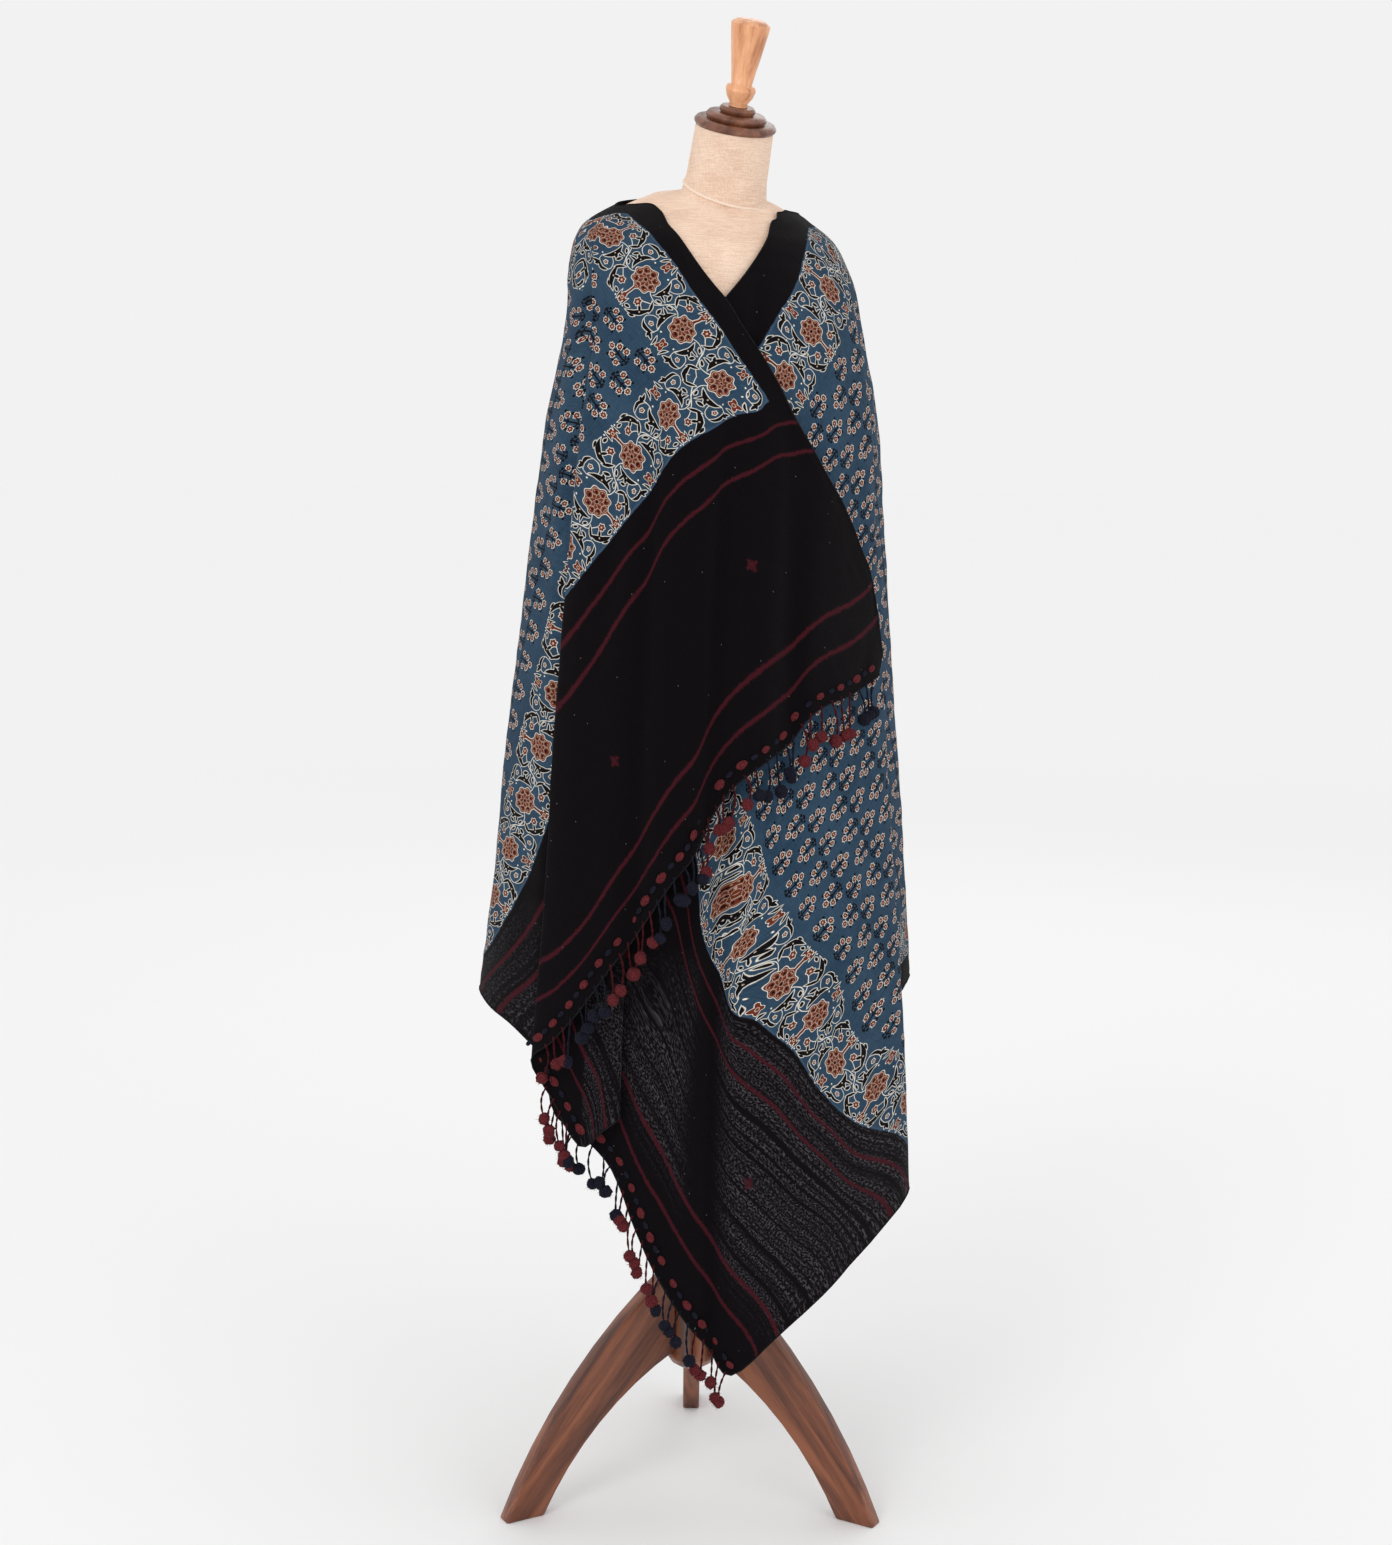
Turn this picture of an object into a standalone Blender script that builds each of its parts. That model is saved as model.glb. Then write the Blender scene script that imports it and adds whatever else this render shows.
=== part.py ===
"""A block-printed cotton dupatta draped over a limbless dress form on a three-legged stand.

Metres, +Z up, with the floor at zero and the drape seen from -Y. The cloth is one length that hangs
from the neck of the form: the over panel falls from the form's right shoulder and crosses in front
of the under panel, and each panel has one deep pleat at its side. Every stretch of it is a thin wall
on the same family of rings, and a table row gives each line down which the cloth hangs.
"""

import math
from collections import namedtuple

import bpy
from mathutils import Vector

CLOTH_WALL = 0.002
SEAM_GAP = 0.0003
CLOTH_ROWS = 16
ROW_CROWDING = 1.3
COLUMNS_PER_FOLD = 2

NECK_BASE = Vector((0.0185, -0.005, 1.437))
NECK_HEIGHT = 0.075
NECK_LEAN = 20.0
FORM_YAW = 24.0
FORM_SEGMENTS = 32

POLE_RADIUS = 0.0115
HUB_TOP = 0.285
HUB_RADIUS = 0.027
LEG_THICKNESS = 0.020
LEG_ANGLES = (-30.0, 90.0, 210.0)
FOOT_OUTER = 0.238
FOOT_INNER = 0.192

STRAND_PITCH = 0.0145
STRAND_ROOT = 0.003
STRAND_LENGTH = 0.034
POMPOM_RADIUS = 0.0068
STRIP_HEIGHT = 0.005
STRIP_GAP = 0.0007
STRIP_END = 0.001

# Rings of the hanging cloth, from the neck down: half_span is half the width seen from the front,
# yaw turns the ring towards +X, and tilt lowers its front.
Ring = namedtuple("Ring", "height centre_x centre_y half_span half_depth yaw tilt")
RINGS = [
    Ring(1.437, 0.010, 0.012, 0.070, 0.062, 24, 14),
    Ring(1.420, 0.006, 0.010, 0.105, 0.080, 24, 12),
    Ring(1.398, 0.004, 0.006, 0.137, 0.096, 24, 10),
    Ring(1.355, 0.008, 0.002, 0.153, 0.112, 23, 7),
    Ring(1.300, 0.012, 0.000, 0.160, 0.126, 22, 4),
    Ring(1.200, 0.010, 0.000, 0.178, 0.142, 20, 0),
    Ring(1.060, 0.006, 0.000, 0.191, 0.146, 17, 0),
    Ring(0.870, 0.003, 0.000, 0.209, 0.149, 14, 0),
    Ring(0.700, 0.003, 0.000, 0.224, 0.152, 12, 0),
    Ring(0.550, 0.001, 0.000, 0.240, 0.156, 11, 0),
    Ring(0.370, 0.000, 0.000, 0.252, 0.160, 10, 0),
    Ring(0.150, 0.000, 0.000, 0.262, 0.164, 10, 0),
]

# The same for the dress form below its shoulders, from the hem up.
FORM_RINGS = [
    Ring(0.800, 0.004, 0.000, 0.138, 0.098, 22, 0),
    Ring(0.850, 0.004, 0.000, 0.149, 0.107, 22, 0),
    Ring(0.920, 0.005, 0.000, 0.152, 0.110, 22, 0),
    Ring(0.990, 0.006, 0.000, 0.136, 0.099, 22, 0),
    Ring(1.070, 0.007, 0.000, 0.117, 0.086, 22, 0),
    Ring(1.140, 0.008, 0.000, 0.127, 0.097, 22, 0),
    Ring(1.210, 0.010, 0.000, 0.146, 0.118, 22, 0),
    Ring(1.270, 0.012, 0.000, 0.150, 0.119, 22, 2),
]
# The form's shoulders follow the cloth's rings: the fractional ring index and how far inside.
Shoulder = namedtuple("Shoulder", "level inset")
SHOULDERS = [
    Shoulder(3.4, 0.0075),
    Shoulder(3.0, 0.0060),
    Shoulder(2.5, 0.0050),
    Shoulder(2.0, 0.0045),
    Shoulder(1.5, 0.0040),
    Shoulder(1.0, 0.0036),
    Shoulder(0.5, 0.0034),
    Shoulder(0.0, 0.0031),
]

# Lines down which the cloth hangs, in order along its length. An angle is 0 at the right outline, 90
# in front, 180 at the left outline and 270 behind. A lift is the distance outside the ring.
Fold = namedtuple("Fold", "top_angle top_height hem_angle hem_height top_lift hem_lift")
OVER_FOLDS = [
    Fold(30.5, 0.952, 33.0, 0.938, 0.031, 0.032),
    Fold(35.2, 1.035, 42.7, 0.926, 0.030, 0.033),
    Fold(40.5, 1.068, 50.5, 0.918, 0.029, 0.034),
    Fold(48.4, 1.115, 57.9, 0.911, 0.027, 0.034),
    Fold(56.0, 1.150, 63.3, 0.899, 0.024, 0.032),
    Fold(64.7, 1.200, 67.5, 0.874, 0.020, 0.025),
    Fold(69.6, 1.236, 74.3, 0.858, 0.015, 0.033),
    Fold(74.9, 1.267, 82.2, 0.834, 0.012, 0.034),
    Fold(81.5, 1.298, 88.3, 0.795, 0.009, 0.025),
    Fold(86.4, 1.324, 92.5, 0.757, 0.006, 0.033),
    Fold(94.3, 1.354, 97.5, 0.730, 0.003, 0.034),
    Fold(103.6, 1.387, 102.5, 0.695, 0.001, 0.033),
    Fold(112.0, 1.400, 106.5, 0.668, 0.000, 0.026),
    Fold(121.0, 1.412, 111.0, 0.640, 0.000, 0.034),
    Fold(133.0, 1.422, 118.0, 0.592, 0.000, 0.033),
    Fold(141.0, 1.427, 125.0, 0.556, 0.000, 0.032),
    Fold(146.0, 1.429, 131.0, 0.534, 0.000, 0.027),
    Fold(152.0, 1.431, 125.5, 0.495, 0.000, 0.021),
    Fold(158.0, 1.433, 117.6, 0.445, 0.000, 0.018),
    Fold(163.0, 1.435, 112.0, 0.462, 0.000, 0.015),
    Fold(168.0, 1.437, 108.2, 0.479, 0.000, 0.011),
    Fold(174.0, 1.438, 114.0, 0.495, 0.000, 0.006),
    Fold(180.0, 1.440, 124.0, 0.518, 0.000, 0.004),
    Fold(186.0, 1.442, 134.0, 0.540, 0.000, 0.002),
    Fold(193.0, 1.444, 148.0, 0.562, 0.000, 0.000),
    Fold(201.0, 1.446, 164.0, 0.573, 0.000, 0.000),
    Fold(209.0, 1.448, 180.0, 0.582, 0.000, 0.004),
    Fold(218.0, 1.450, 197.0, 0.578, 0.000, 0.000),
]
BACK_FOLDS = [
    Fold(228.0, 1.451, 214.0, 0.560, 0.000, 0.016),
    Fold(240.0, 1.452, 232.0, 0.545, 0.000, 0.000),
    Fold(254.0, 1.452, 251.0, 0.530, 0.000, 0.018),
    Fold(270.0, 1.451, 270.0, 0.522, 0.000, 0.001),
    Fold(286.0, 1.449, 289.0, 0.528, 0.000, 0.019),
    Fold(300.0, 1.446, 307.0, 0.545, 0.000, 0.000),
    Fold(312.0, 1.443, 324.0, 0.563, 0.000, 0.014),
]
UNDER_FOLDS = [
    Fold(322.0, 1.441, 338.0, 0.578, 0.000, 0.001),
    Fold(331.0, 1.438, 352.0, 0.586, 0.000, 0.004),
    Fold(339.0, 1.435, 366.0, 0.586, 0.000, 0.000),
    Fold(346.0, 1.433, 380.0, 0.580, 0.000, 0.000),
    Fold(353.0, 1.431, 395.0, 0.555, 0.000, 0.003),
    Fold(360.0, 1.429, 408.0, 0.510, 0.000, 0.006),
    Fold(366.0, 1.427, 414.0, 0.470, 0.000, 0.010),
    Fold(371.0, 1.425, 408.0, 0.440, 0.000, 0.014),
    Fold(376.0, 1.4235, 396.0, 0.405, 0.000, 0.017),
    Fold(381.0, 1.422, 381.0, 0.365, 0.000, 0.020),
    Fold(387.0, 1.4205, 389.0, 0.345, 0.000, 0.025),
    Fold(394.0, 1.419, 407.0, 0.306, 0.000, 0.024),
    Fold(403.0, 1.412, 419.0, 0.270, 0.000, 0.021),
    Fold(412.0, 1.406, 430.3, 0.234, 0.000, 0.018),
    Fold(424.0, 1.385, 441.4, 0.194, 0.000, 0.014),
    Fold(431.7, 1.365, 446.0, 0.220, 0.000, 0.002),
    Fold(437.0, 1.350, 450.6, 0.246, 0.000, 0.010),
    Fold(446.1, 1.324, 457.9, 0.296, 0.000, 0.006),
    Fold(452.0, 1.297, 464.0, 0.350, 0.000, 0.001),
    Fold(458.0, 1.265, 470.8, 0.415, -0.002, -0.003),
    Fold(465.0, 1.225, 479.0, 0.447, -0.005, -0.006),
    Fold(474.0, 1.160, 491.0, 0.479, -0.007, -0.010),
    Fold(481.0, 1.080, 494.0, 0.580, -0.008, -0.012),
    Fold(487.0, 0.980, 494.0, 0.680, -0.009, -0.012),
    Fold(491.0, 0.880, 493.0, 0.740, -0.010, -0.012),
    Fold(493.0, 0.800, 494.0, 0.785, -0.011, -0.012),
]
FOLDS = OVER_FOLDS + BACK_FOLDS + UNDER_FOLDS

# The stretches of the woven ends that carry a fringe, as places among the fold lines.
FringedEnd = namedtuple("FringedEnd", "name first last")
FRINGED_ENDS = [
    FringedEnd("fringe_over", 0.0, 15.5),
    FringedEnd("fringe_over_turned", 16.5, 18.0),
    FringedEnd("fringe_under", 49.0, 56.0),
]


def spline(before, start, end, after, part):
    """A smooth curve value between start and end."""
    square = part * part
    cube = square * part
    leave = (end - before) / 2
    reach = (after - start) / 2
    return (
        (2 * cube - 3 * square + 1) * start
        + (cube - 2 * square + part) * leave
        + (3 * square - 2 * cube) * end
        + (cube - square) * reach
    )


def between(rows, place):
    """The table row at a fractional index, smoothly between its neighbours."""
    last = len(rows) - 1
    place = min(max(place, 0.0), last)
    low = min(int(place), last - 1)
    near = [rows[min(max(low + step, 0), last)] for step in (-1, 0, 1, 2)]
    return type(rows[0])(*(spline(*values, place - low) for values in zip(*near)))


def ring_point(ring, angle, lift):
    """The point of a ring at an angle seen from the front, moved out by lift."""
    yaw = math.radians(ring.yaw)
    half_width = math.sqrt(ring.half_span**2 - (ring.half_depth * math.sin(yaw)) ** 2)
    half_width /= math.cos(yaw)
    turn = math.atan2(ring.half_depth * math.sin(yaw), half_width * math.cos(yaw))
    across = (half_width + lift) * math.cos(turn + math.radians(angle))
    forward = (ring.half_depth + lift) * math.sin(turn + math.radians(angle))
    x = ring.centre_x + across * math.cos(yaw) + forward * math.sin(yaw)
    y = ring.centre_y + across * math.sin(yaw) - forward * math.cos(yaw)
    return Vector((x, y, ring.height - forward * math.tan(math.radians(ring.tilt))))


def level_at(angle, height, lift):
    """The fractional ring index at which the cloth reaches a height."""
    high, low = 0.0, float(len(RINGS) - 1)
    for _ in range(40):
        middle = (high + low) / 2
        if ring_point(between(RINGS, middle), angle, lift).z > height:
            high = middle
        else:
            low = middle
    return (high + low) / 2


Line = namedtuple("Line", "top_angle top_level hem_angle hem_level top_lift hem_lift")
LINES = [
    Line(
        fold.top_angle,
        level_at(fold.top_angle, fold.top_height, fold.top_lift),
        fold.hem_angle,
        level_at(fold.hem_angle, fold.hem_height, fold.hem_lift),
        fold.top_lift,
        fold.hem_lift,
    )
    for fold in FOLDS
]


def cloth_point(place, down):
    """The cloth's middle surface: place counts the fold lines, down runs from neck edge 0 to hem 1."""
    line = between(LINES, place)
    fan = (1 - down) ** 2
    opened = 1 - (1 - down) ** 2.2
    angle = line.hem_angle + (line.top_angle - line.hem_angle) * fan
    lift = line.top_lift + (line.hem_lift - line.top_lift) * opened
    level = line.top_level + (line.hem_level - line.top_level) * down
    return ring_point(between(RINGS, level), angle, lift)


def material(name, colour, roughness):
    made = bpy.data.materials.new(name)
    made.use_nodes = True
    shader = made.node_tree.nodes["Principled BSDF"]
    shader.inputs["Base Color"].default_value = (*colour, 1.0)
    shader.inputs["Roughness"].default_value = roughness
    return made


def add_object(name, mesh, finish):
    """An object in the part's collection, shaded smooth but for its sharp edges."""
    mesh.shade_smooth()
    mesh.set_sharp_from_angle(angle=math.radians(40))
    made = bpy.data.objects.new(name, mesh)
    mesh.materials.append(finish)
    collection.objects.link(made)
    made.parent = stand_centre
    return made


def mesh_from(name, points, faces):
    mesh = bpy.data.meshes.new(name)
    mesh.from_pydata([tuple(point) for point in points], [], faces)
    mesh.validate()
    return mesh


def cloth_stretch(name, first, last, finish):
    """One stretch of the cloth between two fold lines, a sheet thickened to the wall."""
    count = COLUMNS_PER_FOLD * (last - first) + 1
    columns = [
        [
            cloth_point(first + step / COLUMNS_PER_FOLD, (row / CLOTH_ROWS) ** ROW_CROWDING)
            for row in range(CLOTH_ROWS + 1)
        ]
        for step in range(count)
    ]
    if first > 0:
        part_seam(columns[0], columns[1])
    if last < len(FOLDS) - 1:
        part_seam(columns[-1], columns[-2])
    points = [point for column in columns for point in column]
    stride = CLOTH_ROWS + 1
    faces = [
        (step * stride + row, (step + 1) * stride + row, (step + 1) * stride + row + 1, step * stride + row + 1)
        for step in range(count - 1)
        for row in range(CLOTH_ROWS)
    ]
    sheet = add_object(name, mesh_from(name, points, faces), finish)
    wall = sheet.modifiers.new("Wall", "SOLIDIFY")
    wall.thickness = CLOTH_WALL
    wall.offset = 0.0
    return sheet


def part_seam(edge, inner):
    """Draws an edge column back, so that the walls stay the seam's gap apart where they bend."""
    for row, point in enumerate(edge):
        edge[row] = point + (inner[row] - point).normalized() * SEAM_GAP


HemPlace = namedtuple("HemPlace", "distance edge along away")


def hem_corners(first, last):
    """The corners of the cloth's hem: how far along it, the point, the way along and the way off the cloth."""
    count = round(COLUMNS_PER_FOLD * (last - first))
    places = [first + step / COLUMNS_PER_FOLD for step in range(count + 1)]
    edges = [cloth_point(place, 1.0) for place in places]
    corners = []
    distance = 0.0
    for index, place in enumerate(places):
        if index:
            distance += (edges[index] - edges[index - 1]).length
        behind = edges[max(index - 1, 0)]
        ahead = edges[min(index + 1, len(edges) - 1)]
        along = (ahead - behind).normalized()
        down = edges[index] - cloth_point(place, 0.97)
        away = (down - along * down.dot(along)).normalized()
        corners.append(HemPlace(distance, edges[index], along, away))
    return corners


def hem_place(corners, distance):
    """The hem's place at a distance along it."""
    for low, high in zip(corners, corners[1:]):
        if distance <= high.distance:
            part = (distance - low.distance) / (high.distance - low.distance)
            along = low.along.lerp(high.along, part).normalized()
            away = low.away.lerp(high.away, part).normalized()
            return HemPlace(distance, low.edge.lerp(high.edge, part), along, away)
    return corners[-1]


def fringe(name, first, last, finish):
    """A narrow strip just off the woven end, with the twisted cords and pompoms fused to it."""
    corners = hem_corners(first, last)
    total = corners[-1].distance
    count = int(total / STRAND_PITCH)
    spare = (total - (count - 1) * STRAND_PITCH) / 2
    roots = [spare + strand * STRAND_PITCH - STRAND_ROOT / 2 for strand in range(count)]
    stops = [(STRIP_END, False), (total - STRIP_END, False)]
    for root in roots:
        stops += [(root, True), (root + STRAND_ROOT, False)]
    for corner in corners:
        if all(abs(corner.distance - stop) > STRIP_END for stop, _ in stops):
            if not any(root < corner.distance < root + STRAND_ROOT for root in roots):
                stops.append((corner.distance, False))
    stops.sort()
    points = []
    faces = []
    for distance, _ in stops:
        place = hem_place(corners, distance)
        half = place.along.cross(place.away).normalized() * CLOTH_WALL / 2
        top = place.edge + place.away * STRIP_GAP
        bottom = top + place.away * STRIP_HEIGHT
        points += [top + half, top - half, bottom - half, bottom + half]
    last_stop = len(stops) - 1
    faces.append((3, 2, 1, 0))
    faces.append((4 * last_stop, 4 * last_stop + 1, 4 * last_stop + 2, 4 * last_stop + 3))
    for index, (_, rooted) in enumerate(stops[:-1]):
        near, far = 4 * index, 4 * index + 4
        faces.append((near + 1, far + 1, far, near))
        faces.append((near + 2, far + 2, far + 1, near + 1))
        faces.append((near, far, far + 3, near + 3))
        underside = (near + 3, far + 3, far + 2, near + 2)
        if rooted:
            add_strand(points, faces, underside, index)
        else:
            faces.append(underside)
    return add_object(name, mesh_from(name, points, faces), finish)


def add_strand(points, faces, root, number):
    """A cord from its root in the strip down to a pompom, four-sided."""
    middle = sum((points[corner] for corner in root), Vector()) / 4
    outward = (points[root[0]] - points[root[3]]).normalized()
    along = (points[root[1]] - points[root[0]]).normalized()
    outward = Vector((outward.x, outward.y, 0.0)).normalized()
    along = Vector((along.x, along.y, 0.0)).normalized()
    off_cloth = Vector((middle.x, middle.y, 0.0)).normalized()
    length = STRAND_LENGTH * (1 + 0.12 * math.sin(1.9 * number))
    end = middle + off_cloth * 0.005 + along * 0.002 * math.sin(2.7 * number) - Vector((0, 0, length))
    rings = [
        (end + Vector((0, 0, POMPOM_RADIUS)), 0.0014),
        (end, POMPOM_RADIUS),
    ]
    ring_before = root
    for centre, radius in rings:
        start = len(points)
        reach = radius * math.sqrt(0.5)
        points += [
            centre - along * reach + outward * reach,
            centre + along * reach + outward * reach,
            centre + along * reach - outward * reach,
            centre - along * reach - outward * reach,
        ]
        ring = (start, start + 1, start + 2, start + 3)
        for side in range(4):
            after = (side + 1) % 4
            faces.append((ring_before[side], ring_before[after], ring[after], ring[side]))
        ring_before = ring
    tip = len(points)
    points.append(end - Vector((0, 0, POMPOM_RADIUS * 0.9)))
    for side in range(4):
        faces.append((ring_before[side], ring_before[(side + 1) % 4], tip))


def tilted_axes():
    """The neck's own axes: across it, forward and up its leaning length."""
    yaw = math.radians(FORM_YAW)
    lean = math.radians(NECK_LEAN)
    forward = Vector((math.sin(yaw), -math.cos(yaw), 0.0))
    up = forward * math.sin(lean) + Vector((0, 0, math.cos(lean)))
    across = Vector((math.cos(yaw), math.sin(yaw), 0.0))
    return across, up.cross(across), up


def neck_ring(rise, half_width, half_depth):
    across, forward, up = tilted_axes()
    points = []
    for segment in range(FORM_SEGMENTS):
        angle = 2 * math.pi * segment / FORM_SEGMENTS
        offset = across * half_width * math.cos(angle) - forward * half_depth * math.sin(angle)
        points.append(NECK_BASE + up * rise + offset)
    return points


def form_body(finish):
    """The cloth-covered torso and neck, lofted from the hem to the flat top of the neck."""
    angles = [360 * segment / FORM_SEGMENTS for segment in range(FORM_SEGMENTS)]
    rings = [[ring_point(ring, angle, 0.0) for angle in angles] for ring in FORM_RINGS]
    for level, inset in SHOULDERS:
        ring = between(RINGS, level)
        rings.append([ring_point(ring, angle, -inset) for angle in angles])
    rings.append(neck_ring(0.002, 0.0470, 0.0400))
    rings.append(neck_ring(0.022, 0.0435, 0.0400))
    rings.append(neck_ring(0.048, 0.0425, 0.0400))
    rings.append(neck_ring(NECK_HEIGHT, 0.0415, 0.0400))
    points = [point for ring in rings for point in ring]
    around = FORM_SEGMENTS
    faces = [tuple(range(around)), tuple(range(len(points) - around, len(points)))[::-1]]
    for low in range(len(rings) - 1):
        for segment in range(around):
            after = (segment + 1) % around
            base = low * around
            faces.append((base + after, base + segment, base + around + segment, base + around + after))
    return add_object("form_body", mesh_from("form_body", points, faces), finish)


def turned(name, profile, steps, finish):
    """A solid turned round the Z axis from a profile that runs from the top down its outer side."""
    edges = [(index, index + 1) for index in range(len(profile) - 1)]
    mesh = bpy.data.meshes.new(name)
    mesh.from_pydata([(radius, 0.0, height) for radius, height in profile], edges, [])
    made = bpy.data.objects.new(name, mesh)
    mesh.materials.append(finish)
    collection.objects.link(made)
    made.parent = stand_centre
    screw = made.modifiers.new("Turn", "SCREW")
    screw.steps = steps
    screw.render_steps = steps
    screw.use_merge_vertices = True
    screw.merge_threshold = 0.0001
    screw.use_smooth_shade = True
    return made


def place_on_neck(made, rise, lean):
    """Stands a turned piece on the neck, leaning forward with it."""
    yaw = math.radians(FORM_YAW)
    made.location = NECK_BASE + tilted_axes()[2] * rise
    made.rotation_euler = (math.radians(lean), 0.0, yaw)


def neck_cap(finish):
    """Three thin discs with rounded rims, turned in one piece."""
    profile = [(0.0, 0.0225)]
    for radius, low in ((0.019, 0.015), (0.032, 0.0075), (0.0435, 0.0)):
        profile += [
            (radius - 0.002, low + 0.0075),
            (radius, low + 0.0050),
            (radius, low + 0.0025),
            (radius - 0.002, low + 0.0002),
        ]
    profile.append((0.0, 0.0002))
    made = turned("neck_cap", profile, 28, finish)
    place_on_neck(made, NECK_HEIGHT + SEAM_GAP, NECK_LEAN)
    return made


def finial(finish):
    """The turned handle on top: a foot, a bowl and a tapering grip."""
    profile = [
        (0.0, 0.0880),
        (0.0150, 0.0875),
        (0.0205, 0.0840),
        (0.0200, 0.0780),
        (0.0165, 0.0560),
        (0.0130, 0.0360),
        (0.0110, 0.0220),
        (0.0150, 0.0205),
        (0.0160, 0.0170),
        (0.0140, 0.0100),
        (0.0095, 0.0030),
        (0.0100, 0.0),
        (0.0, 0.0),
    ]
    made = turned("finial", profile, 24, finish)
    place_on_neck(made, NECK_HEIGHT + 0.0225 + 2 * SEAM_GAP, NECK_LEAN)
    return made


def hub(finish):
    """The turned block that the pole and the legs meet, with a round bottom."""
    profile = [
        (0.0, HUB_TOP),
        (HUB_RADIUS - 0.003, HUB_TOP),
        (HUB_RADIUS, HUB_TOP - 0.003),
        (HUB_RADIUS, 0.156),
        (0.0290, 0.154),
        (0.0285, 0.149),
        (0.0240, 0.142),
        (0.0150, 0.136),
        (0.0, 0.134),
    ]
    return turned("hub", profile, 32, finish)


def pole(finish):
    profile = [
        (0.0, FORM_RINGS[0].height - SEAM_GAP),
        (POLE_RADIUS, FORM_RINGS[0].height - SEAM_GAP),
        (POLE_RADIUS, HUB_TOP + SEAM_GAP),
        (0.0, HUB_TOP + SEAM_GAP),
    ]
    return turned("pole", profile, 16, finish)


def arc(start, end, bulge, steps):
    """Points along a circular arc that stands out from its chord by bulge."""
    start = Vector(start)
    end = Vector(end)
    chord = end - start
    side = Vector((-chord.y, chord.x)).normalized()
    radius = (chord.length**2 / 4 + bulge**2) / (2 * bulge)
    centre = (start + end) / 2 - side * (radius - bulge)
    half = math.asin(chord.length / 2 / radius)
    points = []
    for step in range(steps + 1):
        turn = half * (1 - 2 * step / steps)
        points.append(centre + side * radius * math.cos(turn) - chord.normalized() * radius * math.sin(turn))
    return points


def leg(name, angle, finish):
    """A board cut to two arcs, standing on its short flat foot."""
    root = HUB_RADIUS + SEAM_GAP
    outer = arc((root, 0.262), (FOOT_OUTER, 0.0), 0.023, 8)
    inner = arc((root, 0.160), (FOOT_INNER, 0.0), 0.019, 8)
    curve = bpy.data.curves.new(name, "CURVE")
    curve.dimensions = "2D"
    curve.fill_mode = "BOTH"
    curve.extrude = LEG_THICKNESS / 2
    outline = outer + inner[::-1]
    path = curve.splines.new("POLY")
    path.points.add(len(outline) - 1)
    for point, place in zip(path.points, outline):
        point.co = (place.x, place.y, 0.0, 1.0)
    path.use_cyclic_u = True
    curve.materials.append(finish)
    made = bpy.data.objects.new(name, curve)
    collection.objects.link(made)
    made.parent = stand_centre
    made.rotation_euler = (math.radians(90), 0.0, math.radians(angle))
    return made


def centre_on_floor():
    """Moves the whole object so that the middle of its outline stands on the origin."""
    bpy.context.view_layer.update()
    graph = bpy.context.evaluated_depsgraph_get()
    corners = []
    for made in collection.objects:
        if made.type == "EMPTY":
            continue
        evaluated = made.evaluated_get(graph)
        mesh = evaluated.to_mesh()
        corners += [made.matrix_world @ vertex.co for vertex in mesh.vertices]
        evaluated.to_mesh_clear()
    middle_x = (min(c.x for c in corners) + max(c.x for c in corners)) / 2
    middle_y = (min(c.y for c in corners) + max(c.y for c in corners)) / 2
    stand_centre.location = (-middle_x, -middle_y, -min(c.z for c in corners))


for old in list(bpy.data.objects):
    bpy.data.objects.remove(old, do_unlink=True)
collection = bpy.data.collections.new("dupatta")
bpy.context.scene.collection.children.link(collection)
stand_centre = bpy.data.objects.new("stand_centre", None)
collection.objects.link(stand_centre)

printed = material("printed cotton", (0.051, 0.109, 0.195), 0.85)
fringe_yarn = material("fringe yarn", (0.18, 0.035, 0.045), 0.9)
linen = material("beige linen", (0.72, 0.53, 0.38), 0.8)
wood = material("brown wood", (0.23, 0.10, 0.045), 0.4)
pale_wood = material("orange-brown wood", (0.42, 0.19, 0.08), 0.4)

over_seam = len(OVER_FOLDS) - 1
under_seam = len(OVER_FOLDS) + len(BACK_FOLDS)
cloth_stretch("cloth_over", 0, over_seam, printed)
cloth_stretch("cloth_back", over_seam, under_seam, printed)
cloth_stretch("cloth_under", under_seam, len(FOLDS) - 1, printed)
for end in FRINGED_ENDS:
    fringe(end.name, end.first, end.last, fringe_yarn)

form_body(linen)
neck_cap(wood)
finial(pale_wood)
pole(wood)
hub(wood)
for name, angle in zip(("leg_right", "leg_rear", "leg_left"), LEG_ANGLES):
    leg(name, angle, wood)
centre_on_floor()
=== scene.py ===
import math
import random

import bmesh
import bpy
import numpy as np
from mathutils import Matrix, Vector, noise


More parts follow.
